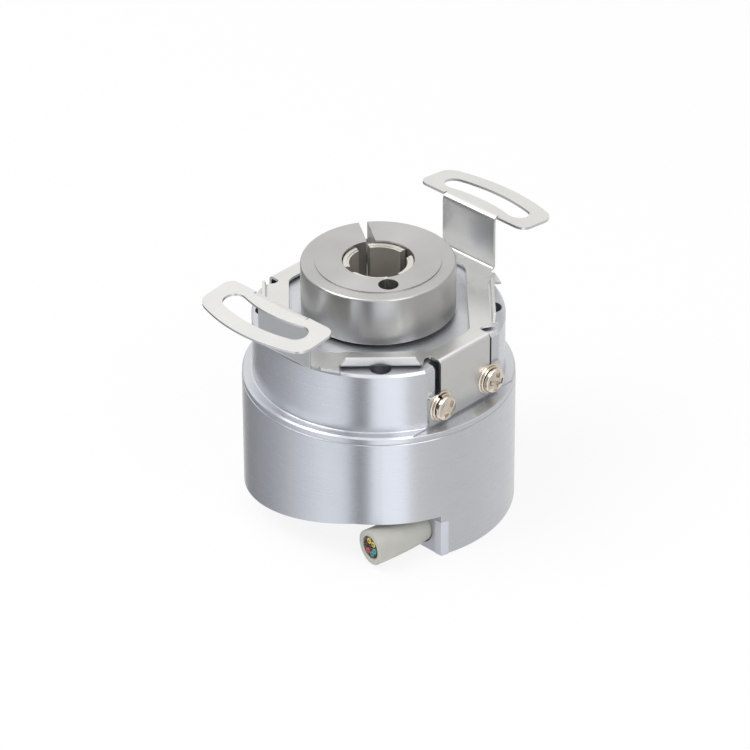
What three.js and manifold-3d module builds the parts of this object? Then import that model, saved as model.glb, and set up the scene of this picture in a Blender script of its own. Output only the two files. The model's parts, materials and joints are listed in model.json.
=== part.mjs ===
// Hollow-shaft rotary encoder with a spring plate that holds the housing still.
// Millimetres, +Z up. The origin is on the shaft axis, in the plane that the housing stands on.
// +X points through one leg of the spring plate, +Y through one of its raised arms.
import * as THREE from 'three';
import { mergeVertices } from 'three/addons/utils/BufferGeometryUtils.js';
import Module from 'manifold-3d';

const wasm = await Module();
wasm.setup();

// ---- Driving dimensions ------------------------------------------------------------------

// Rear cover
const coverRadius = 19;
const coverHeight = 19.45;
const coverWall = 1.6;
const coverFloor = 1.6;
const rearHoleClearance = 1.2;
const coverEdge = 0.15;

// Relief under the cable side of the cover
const reliefWallY = -6.3;
const reliefHeadroom = 0.7;
const reliefLow = 2.9;
const reliefSideRoom = 0.45;
const reliefLowX = -10;
const reliefSkin = 1.4;

// Flange body
const jointGap = 0.05;
const bandHeight = 1.0;
const bodyRadius = 17.5;
const bodyTop = 29.6;
const bodyRim = 0.35;
const footFillet = 0.25;
const spigotDepth = 3.5;
const spigotClearance = 0.08;
const edgeBreak = 0.3;
const flatX = 16.0;
const flatDrop = 0.18;
const pocketHalfWidth = 5.6;
const pocketDepth = 1.5;
const pocketHeight = 5.0;
const faceHoleRadius = 1.45;
const faceHolePitch = 15.5;
const faceHoleDepth = 4.5;
const faceHoleChamfer = 0.2;

// Spring plate
const sheet = 0.4;
const plateLift = 0.3;
const openingLegX = 13.7;
const openingArmY = 15.8;
const openingDiagonal = 12.3;
const openingCorner = 2.2;
const lipDistance = 15.85;
const lipHeight = 1.0;
const lipLean = 8;
const lipHalfLength = 5.4;
const lipTaper = 1.1;
const notchDepth = 1.4;
const notchSlant = 0.25;
const notchWidth = 1.0;
const cornerProud = 0.1;
const armCornerProud = 0.9;
const armCornerWidth = 1.0;
const armCornerDepth = 0.45;
const sheetOverlap = 0.6;
const legHalfWidth = 4.85;
const legBottomGap = 0.4;
const legBend = 0.3;
const earHeight = 4.6;
const earCorner = 0.7;
const armY = 18.0;
const armHalfWidth = 4.85;
const armBend = 0.3;
const tabBend = 0.4;
const tabRise = 8.85;
const tabDroop = 6.3;
const tabHalfLength = 9.95;
const tabInnerGap = 0.45;
const tabOuterRadius = 26.55;
const tabInnerCorner = 1.5;
const tabOuterCorner = 2.4;
const slotPitch = 22.6;
const slotWidth = 3.2;
const slotHalfAngle = 15.2;

// Plate screws, two in each leg
const plateScrewY = 4.8;
const plateScrewDrop = 6.4;
const plateScrewRadius = 1.25;
const plateScrewHead = 1.8;
const plateScrewHeadHeight = 0.95;
const plateScrewReach = 4.2;
const flatWasherRadius = 2.3;
const flatWasherHeight = 0.25;
const springWasherRadius = 2.0;
const springWasherHeight = 0.4;
const springWasherGap = 0.24;
const springWasherTurns = [200, 120, 60, 300];
const plateScrewTurn = 28;
const screwClearance = 0.12;
const screwSpare = 0.5;
const recessWidth = 0.3;
const recessReach = 0.58;
const recessDepth = 0.5;

// Hollow shaft
const boreRadius = 4.0;
const colletWall = 0.85;
const seatWall = 1.0;
const collarWall = 0.8;
const colletHeight = 7.0;
const shaftBottom = 0.6;
const colletSlotWidth = 1.75;
const colletSlotAngle = 73;
const colletSlotDepth = 6.0;
const colletEdge = 0.15;

// Clamp ring
const ringRadius = 10.7;
const ringHeight = 7.35;
const collarProud = 0.6;
const ringGap = 0.05;
const ringBoreClearance = 0.13;
const ringEdge = 0.35;
const ringStepRadius = 8.72;
const ringStep = 0.15;
const splitAngle = 145.5;
const splitWidth = 1.2;
const hingeRadius = 1.38;
const hingeWall = 0.49;
const hingeSlit = 0.5;
const clampScrewPitch = 7.75;
const clampScrewRise = 3.7;
const clampScrewRadius = 1.25;
const clampHeadRadius = 2.15;
const clampHeadHeight = 1.9;
const clampHeadOffset = 1.9;
const clampScrewReach = 4.8;
const hexKeyRadius = 1.15;
const hexKeyDepth = 1.05;

// Bearings, 10 x 15 x 4
const bearingWidth = 4.0;
const raceDepth = 1.25;
const ballRadius = 0.72;
const ballCount = 7;
const raceGroove = 0.88;
const raceHalfGap = 0.42;
const cageShare = 0.6;
const cageHalfHeight = 0.35;
const upperBearingDrop = 1.6;
const lowerBearingRise = 0.7;
const fit = 0.05;

// Shaft seal, retaining ring and cover ring
const sealHeight = 0.9;
const sealWall = 1.4;
const sealLip = 0.08;
const sealLipHeight = 0.1;
const sealBevel = 0.35;
const collarClearance = 0.3;
const clipHeight = 0.35;
const clipGroove = 0.5;
const clipOpening = 2.8;
const clipTurn = 300;
const coverRingRadius = 0.5;
const coverRingDrop = 1.7;

// Code disc and its hub
const discRadius = 11.8;
const discThickness = 0.5;
const discGap = 1.3;
const hubRadius = 8.4;
const hubHeight = 2.0;
const discClearance = 0.2;

// Circuit board, posts and standoffs
const boardGap = 0.9;
const boardThickness = 1.2;
const boardRadius = 16.4;
const boardHoleClearance = 1.6;
const postPitch = 14.0;
const postAngles = [20, 110, 190];
const postRadius = 2.0;
const studRadius = 0.95;
const studReach = 2.8;
const coverScrewHead = 1.9;
const coverScrewHeadHeight = 1.1;
const coverScrewReach = 3.4;
const coverScrewSunk = 0.1;
const coverRecessDepth = 0.8;

// Optics
const opticsAngle = 62;
const opticsPitch = 10.2;
const ledRadius = 0.85;
const ledGap = 0.4;
const holderInner = 1.6;
const holderOuter = 2.4;
const holderHalfWidth = 2.2;
const detectorHalfWidth = 2.6;
const detectorHeight = 0.6;
const maskHeight = 0.3;
const driverAngle = 255;
const driverPitch = 12;
const driverHalfSize = [2.4, 1.9];
const driverHeight = 0.8;
const capacitorPlace = [-7.5, 9.5];
const capacitorRadius = 1.5;
const capacitorHeight = 2.8;

// Cable
const cableSideRoom = 1.35;
const cableLift = 0.7;
const cableRadius = 2.55;
const cableWall = 0.85;
const cableEndY = -14.6;
const cableEndShift = -0.75;
const cableInnerY = -3.2;
const shieldWall = 0.2;
const coreRadius = 0.42;
const coreSpare = 0.13;
const coreTail = 1.9;
const coreInset = 0.1;
const shieldInset = 0.15;
const shieldGap = 0.04;
const cableBendStart = 1.2;
const grommetWall = 0.35;
const grommetFlange = 0.2;
const grommetFlangeDepth = 0.6;
const grommetSunk = 0.1;
const troughClearance = 0.15;
const connectorDepth = 2.6;
const connectorMargin = 0.8;

// ---- Derived places ----------------------------------------------------------------------

const bandBottom = coverHeight + jointGap;
const bandTop = bandBottom + bandHeight;
const spigotBottom = bandBottom - spigotDepth;
const spigotRadius = coverRadius - coverWall - spigotClearance;
const shelfZ = bandTop - flatDrop;
const plateBottom = bodyTop + plateLift;
const plateTop = plateBottom + sheet;
const legFace = flatX + sheet;
const tabHeight = bodyTop + tabRise;
const plateScrewZ = bodyTop - plateScrewDrop;
const seatRadius = boreRadius + seatWall;
const colletRadius = boreRadius + colletWall;
const collarRadius = seatRadius + collarWall;
const ringSeat = bodyTop + collarProud;
const shaftTop = ringSeat + colletHeight;
const ringTop = ringSeat + ringHeight;
const ringBore = colletRadius + ringBoreClearance;
const hingePitch = ringBore + hingeWall + hingeRadius;
const clampScrewZ = ringSeat + clampScrewRise;
const bearingPitch = seatRadius + raceDepth;
const bearingOuter = bearingPitch + raceDepth;
const upperBearingTop = bodyTop - upperBearingDrop;
const lowerBearingFloor = spigotBottom + lowerBearingRise;
const coverRearHole = seatRadius + rearHoleClearance;
const cavityRadius = coverRadius - coverWall;
const cableX = cavityRadius - cableRadius - cableSideRoom;
const cableZ = cableRadius + cableLift;
const corePitch = cableRadius - cableWall - shieldWall - coreRadius - coreSpare;
const reliefHigh = cableZ + cableRadius + reliefHeadroom;
const reliefHighX = cableX - cableRadius - reliefSideRoom;
const boardZ = reliefHigh + reliefSkin + boardGap;
const boardTop = boardZ + boardThickness;
const boardHole = seatRadius + boardHoleClearance;
const discZ = boardTop + discGap;
const roundSteps = 40;
const innerSteps = 24;
const smallSteps = 12;
const arcSteps = 4;
const hexSteps = 6;
const bendSlice = 23;
const cableStops = 6;
const beyond = 1;
const degree = Math.PI / 180;

// ---- Solid helpers -----------------------------------------------------------------------

// A three.js geometry as a manifold solid with its faces out.
function solid(geometry) {
  const bare = geometry.index ? geometry.toNonIndexed() : geometry.clone();
  for (const name of Object.keys(bare.attributes)) {
    if (name !== 'position') bare.deleteAttribute(name);
  }
  const merged = mergeVertices(bare, 1e-4);
  const triVerts = new Uint32Array(merged.index.array);
  if (signedVolume(merged) < 0) {
    for (let i = 0; i < triVerts.length; i += 3) {
      [triVerts[i + 1], triVerts[i + 2]] = [triVerts[i + 2], triVerts[i + 1]];
    }
  }
  const vertProperties = merged.attributes.position.array;
  return new wasm.Manifold(new wasm.Mesh({ numProp: 3, vertProperties, triVerts }));
}

function signedVolume(indexed) {
  const place = indexed.attributes.position;
  const a = new THREE.Vector3();
  const b = new THREE.Vector3();
  const c = new THREE.Vector3();
  let volume = 0;
  for (let i = 0; i < indexed.index.count; i += 3) {
    a.fromBufferAttribute(place, indexed.index.getX(i));
    b.fromBufferAttribute(place, indexed.index.getX(i + 1));
    c.fromBufferAttribute(place, indexed.index.getX(i + 2));
    volume += a.dot(b.cross(c)) / 6;
  }
  return volume;
}

function geometryOf(manifold) {
  const { vertProperties, triVerts } = manifold.getMesh();
  const geometry = new THREE.BufferGeometry();
  geometry.setAttribute('position', new THREE.BufferAttribute(vertProperties, 3));
  geometry.setIndex(new THREE.BufferAttribute(triVerts, 1));
  geometry.computeVertexNormals();
  return geometry;
}

const cut = (from, ...tools) => tools.reduce((left, tool) => left.subtract(tool), from);
const join = (first, ...others) => others.reduce((sum, other) => sum.add(other), first);

// A profile of [radius, z] pairs turned about the Z axis.
function turned(profile, steps = roundSteps) {
  const closed = [...profile, profile[0]].map(([r, z]) => new THREE.Vector2(r, z));
  const lathe = new THREE.LatheGeometry(closed, steps);
  lathe.rotateX(Math.PI / 2);
  return solid(lathe);
}

// A rod or disc on the Z axis, from one height to another.
function rod(radius, low, high, steps = smallSteps) {
  const cylinder = new THREE.CylinderGeometry(radius, radius, high - low, steps);
  cylinder.rotateX(Math.PI / 2);
  cylinder.translate(0, 0, (low + high) / 2);
  return solid(cylinder);
}

function tube(inner, outer, low, high, steps = roundSteps) {
  return turned([[inner, low], [outer, low], [outer, high], [inner, high]], steps);
}

function block(x0, x1, y0, y1, z0, z1) {
  const box = new THREE.BoxGeometry(x1 - x0, y1 - y0, z1 - z0);
  box.translate((x0 + x1) / 2, (y0 + y1) / 2, (z0 + z1) / 2);
  return solid(box);
}

// An outline in the XY plane raised from low to high.
function raised(shape, low, high, curveSegments = arcSteps) {
  const extrusion = new THREE.ExtrudeGeometry(shape, {
    depth: high - low, bevelEnabled: false, curveSegments,
  });
  extrusion.translate(0, 0, low);
  return solid(extrusion);
}

// Moves a solid by a matrix that is built from steps, the last step first.
function placed(body, ...steps) {
  const matrix = new THREE.Matrix4();
  for (const step of steps) matrix.multiply(step);
  return body.transform(matrix.toArray());
}
const shift = (x, y, z) => new THREE.Matrix4().makeTranslation(x, y, z);
const turnX = (angle) => new THREE.Matrix4().makeRotationX(angle * degree);
const turnY = (angle) => new THREE.Matrix4().makeRotationY(angle * degree);
const turnZ = (angle) => new THREE.Matrix4().makeRotationZ(angle * degree);

function polygon(points) {
  return new THREE.Shape(points.map(([x, y]) => new THREE.Vector2(x, y)));
}

// A closed outline through the points, with each corner rounded by its radius.
function roundedPolygon(points, radii) {
  const shape = new THREE.Shape();
  const corner = (i) => new THREE.Vector2(...points[(i + points.length) % points.length]);
  points.forEach((point, i) => {
    const here = corner(i);
    const before = corner(i - 1).sub(here).normalize();
    const after = corner(i + 1).sub(here).normalize();
    const radius = Array.isArray(radii) ? radii[i] : radii;
    const half = Math.acos(THREE.MathUtils.clamp(before.dot(after), -1, 1)) / 2;
    const back = radius / Math.tan(half);
    const start = here.clone().addScaledVector(before, back);
    const end = here.clone().addScaledVector(after, back);
    const centre = before.clone().add(after).normalize().multiplyScalar(radius / Math.sin(half)).add(here);
    const from = Math.atan2(start.y - centre.y, start.x - centre.x);
    const to = Math.atan2(end.y - centre.y, end.x - centre.x);
    const clockwise = before.cross(after) > 0;
    if (i === 0) shape.moveTo(start.x, start.y);
    else shape.lineTo(start.x, start.y);
    if (radius > 0) shape.absarc(centre.x, centre.y, radius, from, to, clockwise);
  });
  shape.closePath();
  return shape;
}

// A strip of bent sheet seen from its edge: runs and bends follow each other from a start point
// on the middle of the sheet, and the outline lies half a thickness to each side.
function bentStrip(start, heading, steps, thickness) {
  const left = [];
  const right = [];
  let [x, y] = start;
  let angle = heading * degree;
  const mark = () => {
    left.push([x - Math.sin(angle) * thickness / 2, y + Math.cos(angle) * thickness / 2]);
    right.push([x + Math.sin(angle) * thickness / 2, y - Math.cos(angle) * thickness / 2]);
  };
  mark();
  for (const step of steps) {
    if (step.run !== undefined) {
      x += Math.cos(angle) * step.run;
      y += Math.sin(angle) * step.run;
      mark();
      continue;
    }
    const side = Math.sign(step.turn);
    const centreX = x - side * Math.sin(angle) * step.radius;
    const centreY = y + side * Math.cos(angle) * step.radius;
    const slices = Math.ceil(Math.abs(step.turn) / bendSlice);
    for (let i = 1; i <= slices; i += 1) {
      const now = angle + step.turn * degree * i / slices;
      x = centreX + side * Math.sin(now) * step.radius;
      y = centreY - side * Math.cos(now) * step.radius;
      const saved = angle;
      angle = now;
      mark();
      angle = saved;
    }
    angle += step.turn * degree;
  }
  return polygon([...left, ...right.reverse()]);
}

// An outline drawn in (Y, Z) and raised along X, between two X places.
function raisedAlongX(shape, x0, x1) {
  const upright = new THREE.Matrix4().makeBasis(
    new THREE.Vector3(0, 1, 0), new THREE.Vector3(0, 0, 1), new THREE.Vector3(1, 0, 0),
  );
  return placed(raised(shape, x0, x1), upright);
}

// An outline drawn in (X, Z) and raised along Y, between two Y places.
function raisedAlongY(shape, y0, y1) {
  const upright = new THREE.Matrix4().makeBasis(
    new THREE.Vector3(1, 0, 0), new THREE.Vector3(0, 0, 1), new THREE.Vector3(0, -1, 0),
  );
  return placed(raised(shape, -y1, -y0), upright);
}

// A rod of round section along a path of points, with the number of its sides and steps.
function swept(points, radius, sides, steps) {
  const section = new THREE.Shape();
  section.absarc(0, 0, radius, 0, 2 * Math.PI);
  const path = new THREE.CatmullRomCurve3(points.map((p) => new THREE.Vector3(...p)));
  const extrusion = new THREE.ExtrudeGeometry(section, {
    steps, extrudePath: path, bevelEnabled: false, curveSegments: sides / 2,
  });
  return solid(extrusion);
}

// ---- Materials ---------------------------------------------------------------------------

const finish = (color, roughness, metalness) => ({ color, roughness, metalness });
const anodised = finish(0xb4b9c2, 0.38, 1);
const stainless = finish(0xcfcfcc, 0.3, 1);
const machined = finish(0xa9a8a4, 0.28, 1);
const nickel = finish(0xd8d0c4, 0.15, 1);
const bearingSteel = finish(0xc4c6c8, 0.12, 1);
const brass = finish(0xc9a45a, 0.3, 1);
const board = finish(0x1d5a35, 0.5, 0);
const darkPlastic = finish(0x1b1b1e, 0.5, 0);
const rubber = finish(0x202022, 0.8, 0);
const clear = finish(0xc8d4d8, 0.08, 0);
const jacket = finish(0xc9c9c1, 0.55, 0);

const encoder = new THREE.Group();

function add(name, body, look, parent = encoder) {
  const material = new THREE.MeshStandardMaterial(look);
  const mesh = new THREE.Mesh(geometryOf(body), material);
  mesh.name = name;
  parent.add(mesh);
  return mesh;
}

// ---- Housing -----------------------------------------------------------------------------

// The space under the cable side: its roof climbs towards the cable and then runs level.
function reliefTool(skin) {
  const reach = coverRadius + 2;
  const slope = (reliefHigh - reliefLow) / (reliefHighX - reliefLowX);
  const farZ = reliefHigh - slope * (reliefHighX + reach);
  const roof = polygon([
    [-reach, -1], [reach, -1], [reach, reliefHigh + skin],
    [reliefHighX, reliefHigh + skin], [-reach, farZ + skin],
  ]);
  return raisedAlongY(roof, -reach, reliefWallY + skin);
}

// A bevel on the upright corner beside the cable.
function cableHoleTool() {
  const hole = rod(cableRadius + grommetWall + fit, -reliefSkin - 1, 1, innerSteps);
  return placed(hole, shift(cableX, reliefWallY, cableZ), turnX(90));
}

// The channel in the floor that the cable's inner end lies in.
function cableTroughTool() {
  const inner = cableInnerY + coreTail;
  const channel = rod(cableRadius + troughClearance, reliefWallY, inner);
  return placed(channel, shift(cableX, 0, cableZ), turnX(90), turnX(180));
}

function rearCover() {
  const shell = turned([
    [coverRearHole, 0], [coverRadius - coverEdge, 0], [coverRadius, coverEdge],
    [coverRadius, coverHeight - coverEdge], [coverRadius - coverEdge, coverHeight],
    [coverRearHole, coverHeight],
  ]);
  const cavity = rod(cavityRadius, coverFloor, coverHeight + 1, roundSteps);
  const room = cut(cavity, reliefTool(reliefSkin));
  const screwHoles = postAngles.map((angle) => {
    const hole = turned([
      [0, -1], [coverScrewHead + screwClearance, -1], [coverScrewHead + screwClearance, coverScrewSunk / 2],
      [studRadius + screwClearance, coverScrewHeadHeight + screwClearance],
      [studRadius + screwClearance, coverFloor + 1], [0, coverFloor + 1],
    ], smallSteps);
    return atPost(hole, angle);
  });
  return cut(
    shell, reliefTool(0), room, cableHoleTool(), cableTroughTool(), ...screwHoles,
  );
}

function legFlatTool(side) {
  const reach = coverRadius + 2;
  const faces = [side * flatX, side * reach].sort((a, b) => a - b);
  return block(...faces, -reach, reach, shelfZ, bodyTop + 1);
}

function legPocketTool(side) {
  const faces = [side * (flatX - pocketDepth), side * (flatX + 1)].sort((a, b) => a - b);
  return block(...faces, -pocketHalfWidth, pocketHalfWidth, bodyTop - pocketHeight, bodyTop + 1);
}

function faceHoleTool(angle) {
  const hole = turned([
    [0, bodyTop - faceHoleDepth], [faceHoleRadius, bodyTop - faceHoleDepth],
    [faceHoleRadius, bodyTop - faceHoleChamfer], [faceHoleRadius + faceHoleChamfer, bodyTop],
    [faceHoleRadius + faceHoleChamfer, bodyTop + 1], [0, bodyTop + 1],
  ], smallSteps);
  return placed(hole, turnZ(angle), shift(faceHolePitch, 0, 0));
}

function plateScrewHoleTool(side, y) {
  const hole = rod(plateScrewRadius + screwClearance, -plateScrewReach - screwSpare, 1);
  return placed(hole, shift(side * flatX, y, plateScrewZ), turnY(side * 90));
}

function flangeBody() {
  const hubBore = bearingOuter + fit;
  const clipZ = lowerBearingFloor - clipHeight - 2 * fit;
  const ringGrooveZ = bandBottom - coverRingDrop;
  const grooveHalf = coverRingRadius + 2 * fit;
  const sealFloor = bodyTop - sealHeight - 2 * fit;
  const sealSeat = collarRadius + sealWall + 2 * fit;
  const body = turned([
    [hubBore, spigotBottom],
    [spigotRadius - edgeBreak, spigotBottom], [spigotRadius, spigotBottom + edgeBreak],
    [spigotRadius, ringGrooveZ - grooveHalf],
    [spigotRadius - 2 * coverRingRadius, ringGrooveZ - grooveHalf],
    [spigotRadius - 2 * coverRingRadius, ringGrooveZ + grooveHalf],
    [spigotRadius, ringGrooveZ + grooveHalf], [spigotRadius, bandBottom],
    [coverRadius - coverEdge, bandBottom], [coverRadius, bandBottom + coverEdge],
    [coverRadius, bandTop - coverEdge], [coverRadius - coverEdge, bandTop],
    [bodyRadius + footFillet, bandTop], [bodyRadius, bandTop + footFillet],
    [bodyRadius, bodyTop - bodyRim], [bodyRadius - bodyRim, bodyTop],
    [sealSeat, bodyTop], [sealSeat, sealFloor],
    [collarRadius + collarClearance, sealFloor],
    [collarRadius + collarClearance, upperBearingTop + fit],
    [hubBore, upperBearingTop + fit],
    [hubBore, clipZ + clipHeight + fit], [hubBore + clipGroove, clipZ + clipHeight + fit],
    [hubBore + clipGroove, clipZ - fit], [hubBore, clipZ - fit],
  ]);
  const sides = [1, -1];
  const screws = sides.flatMap((side) => [-1, 1].map((s) => plateScrewHoleTool(side, s * plateScrewY)));
  const studs = postAngles.map((angle) => {
    const high = spigotBottom + studReach + screwSpare;
    return atPost(rod(studRadius + screwClearance, spigotBottom - 1, high), angle);
  });
  const faceHoles = [45, 135, 225, 315].map(faceHoleTool);
  return cut(body, ...sides.map(legFlatTool), ...sides.map(legPocketTool), ...screws, ...studs, ...faceHoles);
}

// ---- Spring plate ------------------------------------------------------------------------

// The plate's central opening: short sides towards the arms and legs, long ones on the diagonals.
function openingShape() {
  const sum = openingDiagonal * Math.SQRT2;
  const legY = sum - openingLegX;
  const armX = sum - openingArmY;
  const quarter = [[openingLegX, legY], [armX, openingArmY]];
  const points = [
    ...quarter, ...quarter.map(([x, y]) => [-x, y]).reverse(),
    ...quarter.map(([x, y]) => [-x, -y]), ...quarter.map(([x, y]) => [x, -y]).reverse(),
  ];
  const widest = Math.min(legY, armX) * 0.95 / Math.tan(22.5 * degree);
  return roundedPolygon(points, Math.min(openingCorner, widest));
}

// The flat middle of the plate, drawn as one quarter that repeats by mirroring.
function plateOutline() {
  const sum = lipDistance * Math.SQRT2;
  const legRoot = flatX - legBend;
  const armRoot = armY - armBend;
  const notchX = legRoot - notchDepth;
  const far = sum / 2 + lipHalfLength / Math.SQRT2;
  const near = sum - far;
  const quarter = [
    [legRoot, legHalfWidth], [notchX, legHalfWidth + notchSlant], [notchX, legHalfWidth + notchWidth],
    [far + cornerProud, near + cornerProud], [far, near],
    [near, far], [near + armCornerProud, far + armCornerProud],
    [armHalfWidth + armCornerWidth, armRoot - armCornerDepth],
    [armHalfWidth + armCornerWidth / 2, armRoot - armCornerDepth - notchSlant], [armHalfWidth, armRoot],
  ];
  const points = [
    ...quarter, ...quarter.map(([x, y]) => [-x, y]).reverse(),
    ...quarter.map(([x, y]) => [-x, -y]), ...quarter.map(([x, y]) => [x, -y]).reverse(),
  ];
  return polygon(points);
}

// A stiffening lip along one diagonal edge, with tapered ends.
function plateLip(angle) {
  const bend = sheet / 2;
  const start = -bend - sheet / 2 - sheetOverlap;
  const profile = bentStrip([start, plateBottom + sheet / 2], 0, [
    { run: sheetOverlap },
    { turn: 90 - lipLean, radius: bend },
    { run: lipHeight },
  ], sheet);
  const strip = raisedAlongY(profile, -lipHalfLength, lipHalfLength);
  const top = plateTop + lipHeight + beyond;
  const ends = [-1, 1].map((side) => {
    const wedge = polygon([
      [side * lipHalfLength, plateTop], [side * (lipHalfLength - lipTaper), top],
      [side * (lipHalfLength + beyond), top], [side * (lipHalfLength + beyond), plateTop],
    ]);
    return raisedAlongX(wedge, start, beyond);
  });
  return placed(cut(strip, ...ends), turnZ(angle), shift(lipDistance, 0, 0));
}

// One leg: bent down outside the flat, with ears that take the screws.
function plateLeg(side) {
  const radius = legBend + sheet / 2;
  const middle = flatX + sheet / 2;
  const bottom = shelfZ + legBottomGap;
  const start = openingLegX + sheetOverlap;
  const profile = bentStrip([start, plateBottom + sheet / 2], 0, [
    { run: middle - radius - start },
    { turn: -90, radius },
    { run: plateBottom + sheet / 2 - radius - bottom - earHeight / 2 },
  ], sheet);
  const neck = raisedAlongY(profile, -legHalfWidth, legHalfWidth);
  const earHalf = Math.sqrt(bodyRadius ** 2 - flatX ** 2);
  const earTop = bottom + earHeight;
  const ears = roundedPolygon([
    [-earHalf, bottom], [earHalf, bottom], [earHalf, earTop], [-earHalf, earTop],
  ], [earCorner, earCorner, earCorner / 2, earCorner / 2]);
  const lower = raisedAlongX(ears, flatX, flatX + sheet);
  const leg = join(neck, lower);
  const holes = [-plateScrewY, plateScrewY].map((y) => {
    const drill = rod(plateScrewRadius + screwClearance, -1, 2);
    return placed(drill, shift(flatX, y, plateScrewZ), turnY(90));
  });
  return placed(cut(leg, ...holes), turnZ(side > 0 ? 0 : 180));
}

// The slotted tab at the top of an arm, drawn flat with Y pointing outwards: a straight inner edge,
// straight ends and an outer edge that follows the shaft axis.
function tabShape() {
  const inner = armY + tabInnerGap;
  const shape = new THREE.Shape();
  const outX = tabHalfLength - tabOuterCorner;
  const outY = Math.sqrt((tabOuterRadius - tabOuterCorner) ** 2 - outX ** 2);
  const inX = tabHalfLength - tabInnerCorner;
  const inY = inner + tabInnerCorner;
  const turnOff = Math.atan2(outY, outX);
  shape.moveTo(-inX, inner);
  shape.absarc(inX, inY, tabInnerCorner, -Math.PI / 2, 0, false);
  shape.absarc(outX, outY, tabOuterCorner, 0, turnOff, false);
  shape.absarc(0, 0, tabOuterRadius, turnOff, Math.PI - turnOff, false);
  shape.absarc(-outX, outY, tabOuterCorner, Math.PI - turnOff, Math.PI, false);
  shape.absarc(-inX, inY, tabInnerCorner, Math.PI, 1.5 * Math.PI, false);
  const slot = new THREE.Path();
  const half = slotHalfAngle * degree;
  const up = Math.PI / 2;
  const capX = slotPitch * Math.sin(half);
  const capY = slotPitch * Math.cos(half);
  slot.absarc(0, 0, slotPitch + slotWidth / 2, up - half, up + half, false);
  slot.absarc(-capX, capY, slotWidth / 2, up + half, up + half + Math.PI, false);
  slot.absarc(0, 0, slotPitch - slotWidth / 2, up + half, up - half, true);
  slot.absarc(capX, capY, slotWidth / 2, up - half - Math.PI, up - half, false);
  shape.holes.push(slot);
  return shape;
}

// One arm: bent up from the plate, then outwards into its drooping tab.
function plateArm(side) {
  const foot = armBend + sheet / 2;
  const crown = tabBend + sheet / 2;
  const middle = armY + sheet / 2;
  const start = openingArmY + sheetOverlap;
  const crownY = middle + crown;
  const droop = Math.tan(tabDroop * degree);
  const outerCrown = tabBend + sheet;
  const crownTopY = crownY + outerCrown * Math.sin(tabDroop * degree);
  const crownTopZ = tabHeight - droop * (crownTopY - armY);
  const crownZ = crownTopZ - outerCrown * Math.cos(tabDroop * degree);
  const footZ = plateBottom + sheet / 2 + foot;
  const profile = bentStrip([start, plateBottom + sheet / 2], 0, [
    { run: middle - foot - start },
    { turn: 90, radius: foot },
    { run: crownZ - footZ },
    { turn: -90 - tabDroop, radius: crown },
    { run: sheetOverlap },
  ], sheet);
  const strip = raisedAlongX(profile, -armHalfWidth, armHalfWidth);
  const flat = raised(tabShape(), -sheet, 0);
  const bendRoom = block(-armHalfWidth, armHalfWidth, 0, crownTopY + fit, -beyond, beyond);
  const tab = placed(
    cut(flat, bendRoom), shift(0, armY, tabHeight), turnX(-tabDroop), shift(0, -armY, 0),
  );
  return placed(join(strip, tab), turnZ(side > 0 ? 0 : 180));
}

function springPlate() {
  const outline = plateOutline();
  const opening = raised(openingShape(), plateBottom - beyond, plateTop + beyond);
  const middle = cut(raised(outline, plateBottom, plateTop), opening);
  const lips = [45, 135, 225, 315].map(plateLip);
  return join(middle, ...lips, plateLeg(1), plateLeg(-1), plateArm(1), plateArm(-1));
}

// ---- Screws and washers of the spring plate ----------------------------------------------

// A pan-head screw on the Z axis with its seat at zero and its cross recess.
function panScrew() {
  const top = plateScrewHeadHeight;
  const body = turned([
    [0, -plateScrewReach], [plateScrewRadius - edgeBreak, -plateScrewReach],
    [plateScrewRadius, -plateScrewReach + edgeBreak], [plateScrewRadius, 0], [plateScrewHead, 0],
    [plateScrewHead, top * 0.5], [plateScrewHead * 0.8, top], [0, top],
  ], smallSteps);
  return cut(body, crossRecess(plateScrewHead, top * (1 - recessDepth), top + beyond));
}

// The cross that a driver fits, sized by the head's radius.
function crossRecess(headRadius, low, high) {
  const half = recessWidth * headRadius / 2;
  const reach = recessReach * headRadius;
  return join(block(-reach, reach, -half, half, low, high), block(-half, half, -reach, reach, low, high));
}

// A split spring washer: a ring with a slanted gap.
function springWasher() {
  const ring = tube(
    plateScrewRadius + screwClearance, springWasherRadius, 0, springWasherHeight, smallSteps,
  );
  const half = springWasherGap / 2;
  const gap = block(0, springWasherRadius + beyond, -half, half, -beyond, springWasherHeight + beyond);
  return cut(ring, placed(gap, turnX(25)));
}

function plateFasteners() {
  const washer = tube(plateScrewRadius + screwClearance, flatWasherRadius, 0, flatWasherHeight, smallSteps);
  const spring = springWasher();
  const screw = panScrew();
  let index = 0;
  for (const side of [1, -1]) {
    for (const y of [-plateScrewY, plateScrewY]) {
      index += 1;
      const seat = (out, spin) => [
        shift(side * (legFace + out), y, plateScrewZ), turnY(side * 90), turnZ(spin),
      ];
      add(`plate_washer_${index}`, placed(washer, ...seat(0, 0)), nickel);
      const above = flatWasherHeight;
      const turn = springWasherTurns[index - 1];
      add(`plate_spring_washer_${index}`, placed(spring, ...seat(above, turn)), nickel);
      const head = above + springWasherHeight;
      add(`plate_screw_${index}`, placed(screw, ...seat(head, plateScrewTurn * index)), nickel);
    }
  }
}

// ---- Shaft, clamp ring and clamp screw ---------------------------------------------------

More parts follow.
